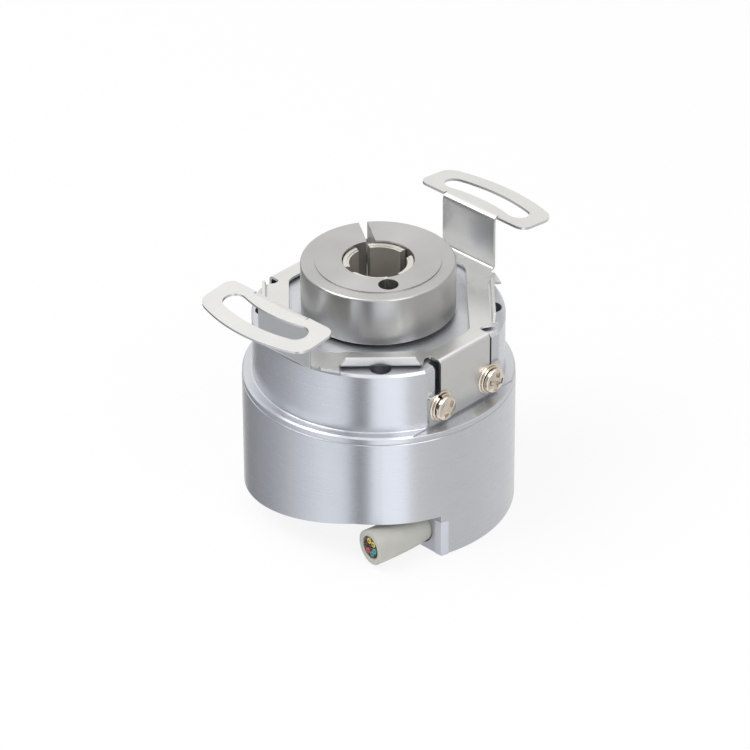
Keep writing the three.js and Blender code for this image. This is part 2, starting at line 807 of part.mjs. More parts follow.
function hollowShaft() {
  const collarBottom = upperBearingTop;
  const body = turned([
    [boreRadius, shaftBottom + edgeBreak], [boreRadius + edgeBreak, shaftBottom],
    [seatRadius - edgeBreak, shaftBottom], [seatRadius, shaftBottom + edgeBreak],
    [seatRadius, collarBottom], [collarRadius, collarBottom],
    [collarRadius, ringSeat], [colletRadius, ringSeat],
    [colletRadius, shaftTop - colletEdge], [colletRadius - colletEdge, shaftTop],
    [boreRadius + colletEdge, shaftTop], [boreRadius, shaftTop - colletEdge],
  ]);
  const slots = [0, 1, 2, 3].map((i) => {
    const slot = block(
      boreRadius / 2, colletRadius + 1, -colletSlotWidth / 2, colletSlotWidth / 2,
      shaftTop - colletSlotDepth, shaftTop + 1,
    );
    return placed(slot, turnZ(colletSlotAngle + 90 * i));
  });
  return cut(body, ...slots);
}

function clampRing() {
  const low = ringSeat + ringGap;
  const rimZ = ringTop - ringStep;
  const ring = turned([
    [ringBore, low], [ringRadius - ringEdge / 2, low], [ringRadius, low + ringEdge / 2],
    [ringRadius, rimZ - ringEdge], [ringRadius - ringEdge, rimZ],
    [ringStepRadius + fit, rimZ], [ringStepRadius - fit, ringTop],
    [ringBore + colletEdge, ringTop], [ringBore, ringTop - colletEdge],
  ]);
  const below = low - beyond;
  const above = ringTop + beyond;
  const split = block(0, ringRadius + beyond, -splitWidth / 2, splitWidth / 2, below, above);
  const slit = block(-hingePitch, 0, -hingeSlit / 2, hingeSlit / 2, below, above);
  const hinge = placed(rod(hingeRadius, below, above), shift(-hingePitch, 0, 0));
  const bolt = clampScrewTool(clampScrewRadius + screwClearance, -clampScrewReach - screwSpare, ringRadius);
  const head = clampScrewTool(clampHeadRadius + screwClearance, clampHeadOffset - fit, ringRadius);
  const cuts = join(split, slit, hinge, bolt, head);
  return cut(ring, placed(cuts, turnZ(splitAngle)));
}

// A round tool along the clamp screw's axis, which crosses the split.
function clampScrewTool(radius, from, to, steps = smallSteps) {
  return placed(rod(radius, from, to, steps), shift(clampScrewPitch, 0, clampScrewZ), turnX(-90));
}

function clampScrew() {
  const headTop = clampHeadOffset + clampHeadHeight;
  const head = clampScrewTool(clampHeadRadius, clampHeadOffset, headTop);
  const stem = clampScrewTool(clampScrewRadius, -clampScrewReach, clampHeadOffset + fit);
  const key = clampScrewTool(hexKeyRadius, headTop - hexKeyDepth, headTop + beyond, hexSteps);
  return placed(cut(join(head, stem), key), turnZ(splitAngle));
}

// ---- Bearings ----------------------------------------------------------------------------

// The wall of a race between two heights, with the groove that the balls run in.
function racePoints(wallRadius, low, side) {
  const middle = low + bearingWidth / 2;
  const offset = Math.abs(wallRadius - bearingPitch);
  const half = Math.acos(offset / raceGroove);
  const points = [];
  const slices = 2;
  for (let i = 0; i <= slices; i += 1) {
    const angle = -half + 2 * half * i / slices;
    points.push([bearingPitch + side * raceGroove * Math.cos(angle), middle + raceGroove * Math.sin(angle)]);
  }
  return points;
}

function innerRing(low) {
  const wall = bearingPitch - raceHalfGap;
  return turned([
    [seatRadius + fit, low], [wall, low], ...racePoints(wall, low, -1), [wall, low + bearingWidth],
    [seatRadius + fit, low + bearingWidth],
  ], innerSteps);
}

function outerRing(low) {
  const wall = bearingPitch + raceHalfGap;
  return turned([
    [bearingOuter, low], [bearingOuter, low + bearingWidth], [wall, low + bearingWidth],
    ...racePoints(wall, low, 1).reverse(), [wall, low],
  ], innerSteps);
}

function ballCage(low) {
  const middle = low + bearingWidth / 2;
  const half = raceHalfGap * cageShare;
  const band = tube(
    bearingPitch - half, bearingPitch + half, middle - cageHalfHeight, middle + cageHalfHeight, innerSteps,
  );
  const ball = solid(new THREE.OctahedronGeometry(ballRadius, 1));
  const balls = Array.from({ length: ballCount }, (unused, i) => {
    return placed(ball, turnZ(360 * i / ballCount), shift(bearingPitch, 0, middle));
  });
  return join(band, ...balls);
}

function bearings() {
  const places = { upper: upperBearingTop - bearingWidth, lower: lowerBearingFloor };
  for (const [name, low] of Object.entries(places)) {
    add(`${name}_bearing_outer_ring`, outerRing(low), bearingSteel);
    add(`${name}_bearing_inner_ring`, innerRing(low), bearingSteel);
    add(`${name}_bearing_cage`, ballCage(low), bearingSteel);
  }
  const spacerLow = lowerBearingFloor + bearingWidth + fit;
  const spacerHigh = upperBearingTop - bearingWidth - fit;
  const innerWall = bearingPitch - raceHalfGap;
  const outerWall = bearingPitch + raceHalfGap;
  add('inner_spacer', tube(seatRadius + fit, innerWall, spacerLow, spacerHigh, innerSteps), machined);
  add('outer_spacer', tube(outerWall + fit, bearingOuter, spacerLow, spacerHigh, innerSteps), machined);
}

// The open ring that holds the lower bearing in the hub.
function retainingRing() {
  const low = lowerBearingFloor - clipHeight - 2 * fit;
  const high = low + clipHeight;
  const outer = bearingOuter + clipGroove - fit;
  const ring = tube(bearingPitch + raceHalfGap, outer, low, high, innerSteps);
  const gap = block(0, outer + beyond, -clipOpening / 2, clipOpening / 2, low - beyond, high + beyond);
  return cut(ring, placed(gap, turnZ(clipTurn)));
}

function shaftSeal() {
  const low = bodyTop - sealHeight - fit;
  const high = low + sealHeight;
  const lip = collarRadius + sealLip;
  const middle = (low + high) / 2;
  return turned([
    [lip, middle - sealLipHeight], [lip + sealBevel, low], [collarRadius + sealWall, low],
    [collarRadius + sealWall, high], [lip + sealBevel, high], [lip, middle + sealLipHeight],
  ]);
}

function coverRing() {
  const centreR = spigotRadius - coverRingRadius - fit;
  const centreZ = bandBottom - coverRingDrop;
  const sides = 5;
  const profile = Array.from({ length: sides }, (unused, i) => {
    const angle = 2 * Math.PI * i / sides;
    return [centreR + coverRingRadius * Math.cos(angle), centreZ + coverRingRadius * Math.sin(angle)];
  });
  return turned(profile);
}

// ---- Code disc, optics and circuit board -------------------------------------------------

function discHub() {
  const low = discZ + discThickness;
  const neck = bearingPitch - raceHalfGap - fit;
  return turned([
    [seatRadius + fit, low], [hubRadius, low], [hubRadius, low + hubHeight],
    [neck, low + hubHeight], [neck, lowerBearingFloor - fit], [seatRadius + fit, lowerBearingFloor - fit],
  ], innerSteps);
}

const atPost = (body, angle) => placed(body, turnZ(angle), shift(postPitch, 0, 0));
const atOptics = (body) => placed(body, turnZ(opticsAngle), shift(opticsPitch, 0, 0));

// A hexagonal standoff with a stud at its top and a threaded hole in its foot.
function standoff(low, high, stud) {
  const hex = rod(postRadius, low, high, hexSteps);
  const pin = rod(studRadius, high - fit, high + stud);
  const holeTop = low + Math.max(stud, coverScrewReach) + screwSpare;
  const hole = rod(studRadius + screwClearance, low - beyond, holeTop);
  return cut(join(hex, pin), hole);
}

function coverScrew() {
  const body = turned([
    [0, coverScrewSunk], [coverScrewHead, coverScrewSunk], [studRadius, coverScrewHeadHeight],
    [studRadius, coverFloor + coverScrewReach], [0, coverFloor + coverScrewReach],
  ], smallSteps);
  return cut(body, crossRecess(coverScrewHead, -beyond, coverRecessDepth));
}

function boardStack() {
  const round = rod(boardRadius, boardZ, boardTop, innerSteps);
  const centre = rod(boardHole, boardZ - beyond, boardTop + beyond, innerSteps);
  const hole = rod(studRadius + screwClearance, boardZ - beyond, boardTop + beyond);
  const holes = postAngles.map((angle) => atPost(hole, angle));
  add('circuit_board', cut(round, centre, ...holes), board);
  const post = standoff(boardTop, spigotBottom, studReach);
  const foot = standoff(coverFloor, boardZ, boardThickness + studReach - screwSpare);
  postAngles.forEach((angle, i) => {
    add(`board_post_${i + 1}`, atPost(post, angle), brass);
    add(`cover_standoff_${i + 1}`, atPost(foot, angle), brass);
    add(`cover_screw_${i + 1}`, atPost(coverScrew(), angle), nickel);
  });
}

// The lamp in its holder above the disc, and the detector with its mask under the disc.
function optics() {
  const ledZ = discZ + discThickness + ledGap;
  const holderZ = ledZ + ledGap / 2;
  const ledTop = spigotBottom - beyond;
  const holder = block(-holderInner, holderOuter, -holderHalfWidth, holderHalfWidth, holderZ, spigotBottom);
  add('led_holder', atOptics(cut(holder, rod(ledRadius + fit, ledZ - beyond, ledTop))), darkPlastic);
  const led = turned([
    [0, ledZ], [ledRadius * 0.7, ledZ + fit], [ledRadius, ledZ + ledRadius / 2],
    [ledRadius, ledTop - fit], [0, ledTop - fit],
  ], smallSteps);
  add('led', atOptics(led), clear);
  const detectorTop = boardTop + detectorHeight;
  const detector = block(
    -holderInner, holderOuter, -detectorHalfWidth, detectorHalfWidth, boardTop, detectorTop,
  );
  add('detector', atOptics(detector), darkPlastic);
  const maskHalf = detectorHalfWidth * 0.7;
  const mask = block(-maskHalf / 2, maskHalf, -maskHalf, maskHalf, detectorTop, detectorTop + maskHeight);
  add('detector_mask', atOptics(mask), clear);
}

function boardParts() {
  const [halfX, halfY] = driverHalfSize;
  const chip = block(-halfX, halfX, -halfY, halfY, boardTop, boardTop + driverHeight);
  add('line_driver', placed(chip, turnZ(driverAngle), shift(driverPitch, 0, 0)), darkPlastic);
  const can = rod(capacitorRadius, boardZ - capacitorHeight, boardZ);
  add('filter_capacitor', placed(can, shift(...capacitorPlace, 0)), stainless);
}

// ---- Cable -------------------------------------------------------------------------------

// A line beside the cable's middle: straight through the wall, then easing a little sideways.
function cablePath(dx, dz, endY, innerY) {
  const bendStart = reliefWallY - cableBendStart;
  return Array.from({ length: cableStops + 1 }, (unused, i) => {
    const y = endY + (innerY - endY) * i / cableStops;
    const t = Math.max(0, (bendStart - y) / (bendStart - cableEndY));
    return [cableX + dx + cableEndShift * t * t, y, cableZ + dz];
  });
}

// The cores by name, place around the cable's middle and colour.
const cores = [
  ['yellow_1', 112, 0xd9c64a], ['yellow_2', 52, 0xd9c64a], ['teal_1', -8, 0x3f9c97],
  ['teal_2', -68, 0x3f9c97], ['black', 172, 0x2a2a2c], ['red', 232, 0xc25860],
];

// A tube along the cable, open at both ends.
function cableTube(outerRadius, innerRadius, endY, innerY) {
  const outer = swept(cablePath(0, 0, endY, innerY), outerRadius, smallSteps, cableStops);
  const inside = swept(
    cablePath(0, 0, endY - beyond, innerY + beyond), innerRadius, smallSteps, cableStops + 1,
  );
  return cut(outer, inside);
}

function cable() {
  const bore = cableRadius - cableWall;
  const shieldOuter = bore - shieldGap;
  add('cable_jacket', cableTube(cableRadius, bore, cableEndY, cableInnerY), jacket);
  const shieldEnds = [cableEndY + shieldInset, cableInnerY + 2 * shieldInset];
  add('cable_shield', cableTube(shieldOuter, shieldOuter - shieldWall, ...shieldEnds), nickel);
  for (const [name, angle, color] of cores) {
    const dx = corePitch * Math.cos(angle * degree);
    const dz = corePitch * Math.sin(angle * degree);
    const path = cablePath(dx, dz, cableEndY + coreInset, cableInnerY + coreTail);
    add(`cable_core_${name}`, swept(path, coreRadius, hexSteps, cableStops), finish(color, 0.45, 0));
  }
}

function grommet() {
  const outer = cableRadius + grommetWall;
  const flange = outer + grommetFlange;
  const inner = reliefSkin + fit;
  const back = inner + grommetFlangeDepth;
  const bush = turned([
    [cableRadius + fit, grommetSunk], [outer, grommetSunk], [outer, inner], [flange, inner],
    [flange, back], [cableRadius + fit, back],
  ], innerSteps);
  const upright = placed(bush, shift(cableX, reliefWallY, cableZ), turnX(-90));
  const floorRoom = block(0, coverRadius, reliefWallY + reliefSkin, 0, -beyond, coverFloor + fit);
  return cut(upright, floorRoom);
}

// The header on the board that takes the cable's cores.
function connector() {
  const face = cableInnerY + coreTail + 2 * fit;
  const half = corePitch + coreRadius + connectorMargin;
  return block(cableX - half, cableX + half, face, face + connectorDepth, coverFloor + fit, boardZ);
}

// ---- Assembly ----------------------------------------------------------------------------

add('rear_cover', rearCover(), anodised);
add('flange_body', flangeBody(), anodised);
add('spring_plate', springPlate(), stainless);
plateFasteners();
add('hollow_shaft', hollowShaft(), machined);
add('clamp_ring', clampRing(), machined);
add('clamp_screw', clampScrew(), nickel);
bearings();
add('retaining_ring', retainingRing(), bearingSteel);
add('shaft_seal', shaftSeal(), rubber);
add('cover_ring', coverRing(), rubber);
add('disc_hub', discHub(), brass);
const discBore = seatRadius + discClearance;
add('code_disc', tube(discBore, discRadius, discZ, discZ + discThickness, innerSteps), clear);
boardStack();
optics();
boardParts();
add('cable_grommet', grommet(), rubber);
cable();
add('cable_connector', connector(), finish(0xe8e4d8, 0.5, 0));

export default encoder;
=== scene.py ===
"""Looks of a hollow-shaft rotary encoder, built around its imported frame.

Shapes are modelled in millimetres and scaled to metres when a piece is finished.
"""
import json
from math import acos, asin, atan2, ceil, copysign, cos, degrees, hypot, pi, radians as rad, sin, sqrt, tan

import bmesh
import bpy
from mathutils import Matrix, Vector
from mathutils.geometry import delaunay_2d_cdt


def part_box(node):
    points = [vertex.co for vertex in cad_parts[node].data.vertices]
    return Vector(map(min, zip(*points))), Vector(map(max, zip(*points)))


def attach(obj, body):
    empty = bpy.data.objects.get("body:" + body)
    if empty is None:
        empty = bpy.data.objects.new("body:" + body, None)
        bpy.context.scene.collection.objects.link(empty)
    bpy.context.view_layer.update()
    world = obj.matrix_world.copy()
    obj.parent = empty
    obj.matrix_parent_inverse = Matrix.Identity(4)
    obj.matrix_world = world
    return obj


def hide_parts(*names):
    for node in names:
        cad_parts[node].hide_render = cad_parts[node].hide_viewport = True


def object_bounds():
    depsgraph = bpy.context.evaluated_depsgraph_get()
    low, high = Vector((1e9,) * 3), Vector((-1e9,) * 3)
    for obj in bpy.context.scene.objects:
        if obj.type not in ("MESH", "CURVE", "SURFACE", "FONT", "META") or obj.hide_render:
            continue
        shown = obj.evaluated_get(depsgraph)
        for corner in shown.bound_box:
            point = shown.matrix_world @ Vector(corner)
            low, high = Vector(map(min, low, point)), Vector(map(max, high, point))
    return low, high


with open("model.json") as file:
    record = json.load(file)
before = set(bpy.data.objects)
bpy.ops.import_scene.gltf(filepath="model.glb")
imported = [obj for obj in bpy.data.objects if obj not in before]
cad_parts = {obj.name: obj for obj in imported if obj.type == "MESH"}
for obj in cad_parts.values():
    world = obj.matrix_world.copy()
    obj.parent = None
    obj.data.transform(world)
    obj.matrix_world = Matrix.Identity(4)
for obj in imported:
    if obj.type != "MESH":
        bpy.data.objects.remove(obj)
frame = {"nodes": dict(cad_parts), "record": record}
cad_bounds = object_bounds()

MM = 0.001

# ---- Sizes that the frame doesn't give ----

ROUND = 192  # steps round the large turned pieces
SMALL = 48  # steps round holes, screws and the cable
ARC_STEP = 9  # degrees that one step of an arc turns, at most
FIT = 0.05  # gap between pieces that seat on each other
SCREW_GAP = 0.12  # room round a screw's stem or head
PAST = 1.0  # how far a cutting tool reaches past what it cuts

COVER_WALL = 1.6
COVER_FLOOR = 1.6
REAR_HOLE_R = 6.2
RELIEF_WALL_Y = -6.3
RELIEF_HIGH = 6.5
RELIEF_LOW = 2.9
RELIEF_HIGH_X = 10.5
RELIEF_LOW_X = -10.0
RELIEF_SKIN = 1.4
CORNER_STRIP = 1.15
CORNER_STRIP_TOP = 5.5
CORNER_STRIP_PROUD = 0.08

BAND_HEIGHT = 1.0
BAND_INSET = 0.05
BAND_BEVEL = 0.26
BAND_FILLET = 0.25
SPIGOT_R = 17.3
SPIGOT_BEVEL = 0.3
BEARING_R = 7.5
BODY_R = 17.5
BODY_RIM = 0.35
FLAT_X = 16.0
FLAT_DROP = 0.18
POCKET_HALF = 5.6
POCKET_DEPTH = 1.5
POCKET_HEIGHT = 5.0
FACE_HOLE_R = 1.45
FACE_HOLE_PITCH = 15.5
FACE_HOLE_DEPTH = 4.5
DIAGONALS = (45, 135, 225, 315)

SHEET = 0.4
PLATE_LIFT = 0.3
OPENING_LEG_X = 13.7
OPENING_ARM_Y = 15.8
OPENING_DIAGONAL = 12.3
OPENING_CORNER = 2.2
PLATE_SLIT = 0.14
LIP_DISTANCE = 15.85
LIP_HEIGHT = 1.0
LIP_LEAN = 8
LIP_BEND = 0.45
LIP_HALF = 5.4
LIP_TAPER = 1.1
LEG_HALF = 4.85
LEG_BEND = 0.3
EAR_HEIGHT = 4.6
ARM_Y = 18.0
ARM_HALF = 4.85
ARM_BEND = 0.3
TAB_BEND = 0.4
TAB_HEIGHT = 38.45
TAB_DROOP = 6.3
TAB_HALF = 9.95
TAB_INNER_GAP = 0.45
TAB_OUTER_R = 26.55
TAB_INNER_CORNER = 1.5
TAB_OUTER_CORNER = 2.4
SLOT_PITCH = 22.6
SLOT_WIDTH = 3.2
SLOT_HALF_ANGLE = 15.2
NOTCH_DEPTH = 1.4

SCREW_Y = 4.8
SCREW_Z = 23.2
SCREW_R = 1.25
SCREW_DEPTH = 4.7
SCREW_SPINS = (200, 120, 60, 300)
HEAD_R = 1.8
HEAD_H = 0.95
WASHER_R = 2.3
WASHER_H = 0.25
SPRING_R = 2.0
SPRING_H = 0.4

BORE_R = 4.0
COLLET_R = 4.85
SEAT_R = 5.0
COLLAR_R = 5.8
COLLAR_Z = 28.0
COLLET_SLOT = 1.75
COLLET_ANGLE = 73
COLLET_DEPTH = 6.0
SEAL_WIDTH = 1.5
SEAL_SUNK = 1.0

RING_BORE = 4.98
RING_STEP_R = 8.72
RING_STEP = 0.15
RING_EDGE = 0.35
SPLIT_ANGLE = 145.5
SPLIT_WIDTH = 1.2
HINGE_R = 1.38
HINGE_PITCH = 6.85
HINGE_SLIT = 0.5
CLAMP_PITCH = 7.75
CLAMP_Z = 33.9
CLAMP_STUD_R = 1.25
CLAMP_HEAD_R = 2.15
CLAMP_HEAD_H = 1.9
CLAMP_HEAD_OFFSET = 1.9
CLAMP_REACH = 4.8

POST_PITCH = 14.0
POST_ANGLES = (20, 110, 190)
COVER_HEAD_R = 1.9
COVER_HEAD_H = 1.1
COVER_STUD_R = 0.95

CABLE_X = 13.5
CABLE_Z = 3.25
CABLE_R = 2.55
CABLE_WALL = 0.85
CABLE_END_SHIFT = -0.75
CABLE_CUT_SLANT = 0.2
CABLE_CUT_DEPTH = 2.5
CORE_R = 0.42
CORE_PITCH = 0.95
CONDUCTOR_R = 0.21


# ---- Mesh helpers ----

def box_mm(node):
    low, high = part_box(node)
    return low / MM, high / MM


def turn(angle, axis="Z"):
    return Matrix.Rotation(rad(angle), 4, axis)


def move(x, y, z):
    return Matrix.Translation((x, y, z))


HERE = Matrix()
ALONG_X = Matrix(((0, 0, 1, 0), (1, 0, 0, 0), (0, 1, 0, 0), (0, 0, 0, 1)))
ALONG_Y = Matrix(((1, 0, 0, 0), (0, 0, -1, 0), (0, 1, 0, 0), (0, 0, 0, 1)))


def new_object(name, bm):
    """A linked object from a bmesh, with its faces turned out."""
    bmesh.ops.recalc_face_normals(bm, faces=bm.faces)
    mesh = bpy.data.meshes.new(name)
    bm.to_mesh(mesh)
    bm.free()
    obj = bpy.data.objects.new(name, mesh)
    bpy.context.scene.collection.objects.link(obj)
    return obj


def skin(bm, rings, loop=False):
    """Faces between neighbouring rings of vertices, and back to the first ring in a loop."""
    pairs = list(zip(rings, rings[1:]))
    if loop:
        pairs.append((rings[-1], rings[0]))
    for here, there in pairs:
        for i, vert in enumerate(here):
            j = (i + 1) % len(here)
            bm.faces.new((vert, there[i], there[j], here[j]))


def lathe(profile, steps=ROUND, place=HERE):
    """A closed profile of (radius, z) points turned about Z."""
    bm = bmesh.new()
    rings = []
    for i in range(steps):
        angle = 2 * pi * i / steps
        rings.append([bm.verts.new((r * cos(angle), r * sin(angle), z)) for r, z in profile])
    skin(bm, rings, loop=True)
    bmesh.ops.remove_doubles(bm, verts=bm.verts, dist=1e-4)
    bm.transform(place)
    return new_object("lathe", bm)


def rod(radius, low, high, place=HERE, steps=SMALL):
    return prism(circle(radius, steps), low, high, place)


def circle(radius, steps):
    angles = [2 * pi * i / steps for i in range(steps)]
    return [(radius * cos(a), radius * sin(a)) for a in angles]


def prism(outline, low, high, place=HERE):
    """An outline in the XY plane raised from low to high."""
    bm = bmesh.new()
    floor = [bm.verts.new((x, y, low)) for x, y in outline]
    roof = [bm.verts.new((x, y, high)) for x, y in outline]
    bm.faces.new(floor[::-1])
    bm.faces.new(roof)
    for i, vert in enumerate(floor):
        j = (i + 1) % len(floor)
        bm.faces.new((vert, floor[j], roof[j], roof[i]))
    bm.transform(place)
    return new_object("prism", bm)


def block(x0, x1, y0, y1, z0, z1, place=HERE):
    return prism([(x0, y0), (x1, y0), (x1, y1), (x0, y1)], z0, z1, place)


def prism_x(outline_yz, x0, x1, place):
    """An outline in (y, z) raised along X."""
    return prism(outline_yz, x0, x1, place @ ALONG_X)


def prism_y(outline_xz, y0, y1, place=HERE):
    """An outline in (x, z) raised along Y."""
    return prism(outline_xz, -y1, -y0, place @ ALONG_Y)


def arc(centre, radius, start, end, steps=0):
    """Points on an arc, from one angle in degrees to another, both ends included."""
    steps = max(steps, ceil(abs(end - start) / ARC_STEP))
    return [
        (centre[0] + radius * cos(rad(start + (end - start) * i / steps)),
         centre[1] + radius * sin(rad(start + (end - start) * i / steps)))
        for i in range(steps + 1)
    ]


def rounded(points, radii):
    """A closed outline with its corners rounded, each by its own radius."""
    outline, steps = [], 10
    for i, (point, radius) in enumerate(zip(points, radii)):
        if radius <= 0:
            outline.append(point)
            continue
        here = Vector(point)
        before = (Vector(points[i - 1]) - here).normalized()
        after = (Vector(points[(i + 1) % len(points)]) - here).normalized()
        half = acos(max(-1, min(1, before.dot(after)))) / 2
        back = radius / tan(half)
        centre = here + (before + after).normalized() * radius / sin(half)
        first = here + before * back - centre
        last = here + after * back - centre
        sweep = atan2(first.x * last.y - first.y * last.x, first.dot(last))
        start = atan2(first.y, first.x)
        for k in range(steps + 1):
            angle = start + sweep * k / steps
            outline.append((centre.x + radius * cos(angle), centre.y + radius * sin(angle)))
    return outline


def combine(target, tools, operation):
    """Joins tools to the target or cuts them from it, and removes the tools."""
    for tool in tools:
        modifier = target.modifiers.new("combine", "BOOLEAN")
        modifier.solver = "MANIFOLD"
        modifier.operation = operation
        modifier.object = tool
    depsgraph = bpy.context.evaluated_depsgraph_get()
    mesh = bpy.data.meshes.new_from_object(target.evaluated_get(depsgraph))
    target.modifiers.clear()
    target.data = mesh
    for tool in tools:
        bpy.data.objects.remove(tool)
    return target


def cut(target, *tools):
    return combine(target, tools, "DIFFERENCE")


def join(target, *tools):
    return combine(target, tools, "UNION")


def placed(obj, place):
    obj.data.transform(place)
    return obj


INWARD_SHARP = 40  # degrees from which an edge stays a hard line in the shading
FOLD = 1e-6  # the least area and distance, in mm, that count in a folded polygon


def bake_modifiers(obj):
    depsgraph = bpy.context.evaluated_depsgraph_get()
    mesh = bpy.data.meshes.new_from_object(obj.evaluated_get(depsgraph))
    obj.modifiers.clear()
    obj.data = mesh


def mend_folded_faces(mesh):
    """Cuts a polygon whose outline crosses itself at a narrow corner into sound triangles."""
    bm = bmesh.new()
    bm.from_mesh(mesh)
    folded = set()
    for corners in bm.calc_loop_triangles():
        a, b, c = (loop.vert.co for loop in corners)
        face = corners[0].face
        if len(face.verts) > 4 and (b - a).cross(c - a).dot(face.normal) < -FOLD:
            folded.add(face)
    for face in folded:
        verts = list(face.verts)
        origin, across = verts[0].co.copy(), face.normal.orthogonal().normalized()
        along = face.normal.cross(across)
        flat = [Vector(((v.co - origin).dot(across), (v.co - origin).dot(along))) for v in verts]
        outline = [list(range(len(flat)))]
        points, _, triangles, sources, _, _ = delaunay_2d_cdt(flat, [], outline, 1, FOLD)
        corners = [
            verts[source[0]] if source else bm.verts.new(origin + across * point.x + along * point.y)
            for point, source in zip(points, sources)
        ]
        bm.faces.remove(face)
        for triangle in triangles:
            chosen = [corners[i] for i in triangle]
            if bm.faces.get(chosen) is None:
                bm.faces.new(chosen)
    bmesh.ops.recalc_face_normals(bm, faces=bm.faces)
    bm.to_mesh(mesh)
    bm.free()


def plane_at(angle):
    """An upright plane through the origin whose trace points along an angle."""
    return (0, 0, 0), (-sin(rad(angle)), cos(rad(angle)), 0)


def settle(obj, bevel, angle=12, cuts=()):
    """Merges flat faces between cutting planes, breaks outward edges and cleans the normals."""
    bm = bmesh.new()
    bm.from_mesh(obj.data)
    bmesh.ops.remove_doubles(bm, verts=bm.verts, dist=5e-4)
    bmesh.ops.triangulate(bm, faces=bm.faces)
    for point, normal in (plane_at(0), plane_at(90), *cuts):
        found = bmesh.ops.bisect_plane(bm, geom=[*bm.verts, *bm.edges, *bm.faces], dist=2e-4,
                                       plane_co=point, plane_no=normal)
        for item in found["geom_cut"]:
            if isinstance(item, bmesh.types.BMEdge):
                item.seam = True
    bmesh.ops.dissolve_limit(bm, angle_limit=rad(0.25), verts=bm.verts, edges=bm.edges,
                             delimit={"SEAM"})
    bmesh.ops.recalc_face_normals(bm, faces=bm.faces)
    weight = bm.edges.layers.float.new("bevel_weight_edge")
    for edge in bm.edges:
        outward = len(edge.link_faces) == 2 and edge.calc_face_angle_signed() > rad(angle)
        edge[weight] = 1.0 if outward else 0.0
    bm.to_mesh(obj.data)
    bm.free()
    if bevel > 0:
        modifier = obj.modifiers.new("bevel", "BEVEL")
        modifier.width = bevel
        modifier.segments = 2
        modifier.limit_method = "WEIGHT"
        modifier.use_clamp_overlap = False
        modifier.miter_outer = "MITER_ARC"
        bake_modifiers(obj)
    mend_folded_faces(obj.data)
    obj.data.shade_smooth()
    obj.data.set_sharp_from_angle(angle=rad(INWARD_SHARP))
    weighted = obj.modifiers.new("normals", "WEIGHTED_NORMAL")
    weighted.keep_sharp = True
    weighted.weight = 100
    bake_modifiers(obj)
    return obj


def finish_piece(obj, name, nodes, body, material):
    """Scales a piece to metres, names it, gives it its material, ties it to its body and hides the CAD nodes
    it stands for.
    """
    obj.name = name
    obj.data.name = name
    obj.data.transform(Matrix.Scale(MM, 4))
    obj.data.materials.clear()
    obj.data.materials.append(material)
    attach(obj, body)
    if nodes:
        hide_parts(*nodes)


# ---- Materials ----

TURNED_SHARE = 0.0003  # keeps the turning marks long: they hardly change round the axis
METAL_RELIEF = 0.00002  # metres that the bump of metal stands for
MOULD_RELIEF = 0.00003


class Graph:
    """Short ways to add nodes to a node tree; values are numbers, or outputs that get linked."""

    def __init__(self, tree):
        self.nodes, self.links = tree.nodes, tree.links

    def feed(self, inputs, values):
        for key, value in values.items():
            if isinstance(value, bpy.types.NodeSocket):
                self.links.new(value, inputs[key])
            else:
                inputs[key].default_value = value

    def add(self, kind, values=None):
        node = self.nodes.new("ShaderNode" + kind)
        self.feed(node.inputs, values or {})
        return node

    def math(self, operation, *values):
        node = self.add("Math", dict(enumerate(values)))
        node.operation = operation
        return node.outputs[0]

    def place(self, stretch=(1, 1, 1)):
        coordinates = self.add("TexCoord").outputs["Object"]
        return self.add("Mapping", {"Scale": stretch, "Vector": coordinates}).outputs[0]

    def split_place(self):
        return self.add("SeparateXYZ", {0: self.add("TexCoord").outputs["Object"]}).outputs

    def turned_place(self):
        """(distance from the shaft axis, small share of the angle round it, height)"""
        x, y, z = self.split_place()
        square = self.math("ADD", self.math("MULTIPLY", x, x), self.math("MULTIPLY", y, y))
        turned = self.math("MULTIPLY", self.math("ARCTAN2", y, x), TURNED_SHARE)
        return self.add("CombineXYZ", {0: self.math("SQRT", square), 1: turned, 2: z}).outputs[0]

    def noise(self, place, scale, detail=2.0):
        return self.add("TexNoise", {"Scale": scale, "Detail": detail, "Vector": place}).outputs["Fac"]

    def spread(self, value, low, high, start=0.3, end=0.7):
        return self.add("MapRange", {"From Min": start, "From Max": end, "To Min": low,
                                     "To Max": high, "Value": value}).outputs[0]


class Look(Graph):
    """A material whose colour, gloss and relief each follow a noise."""

    def __init__(self, name, metallic=0.0):
        self.material = bpy.data.materials.new(name)
        self.material.use_nodes = True
        super().__init__(self.material.node_tree)
        self.shader = self.nodes["Principled BSDF"].inputs
        self.feed(self.shader, {"Metallic": metallic})

    def drift(self, cloud, colour, amount):
        """The colour drifts a little darker and lighter with a cloudy noise."""
        ramp = self.add("ValToRGB", {"Fac": cloud})
        for i, (position, share) in enumerate(((0.3, 1 - amount), (0.7, 1 + amount))):
            stop = ramp.color_ramp.elements[i]
            stop.position = position
            stop.color = (*(min(1, c * share) for c in colour), 1)
        self.feed(self.shader, {"Base Color": ramp.outputs["Color"]})

    def gloss(self, noise, roughness, less, more):
        self.feed(self.shader, {"Roughness": self.spread(noise, roughness * less, roughness * more)})

    def bump(self, height, strength, distance=METAL_RELIEF):
        bump = self.add("Bump", {"Strength": strength, "Distance": distance, "Height": height})
        self.feed(self.shader, {"Normal": bump.outputs["Normal"]})


def turned_metal(name, colour, roughness, anisotropy, line_scale=9000, bump=0.05, drift=0.03, metallic=1.0):
    """Metal turned about the shaft axis: fine rings and a sheen stretched across them."""
    look = Look(name, metallic)
    lines = look.noise(look.turned_place(), line_scale, 3.0)
    look.drift(look.noise(look.place(), 260), colour, drift)
    look.gloss(lines, roughness, 0.97, 1.03)
    tangent = look.add("Tangent")
    tangent.direction_type = "RADIAL"
    tangent.axis = "Z"
    look.feed(look.shader, {"Anisotropic": anisotropy, "Anisotropic Rotation": 0.25,
                            "Tangent": tangent.outputs[0]})
    look.bump(lines, bump)
    return look.material


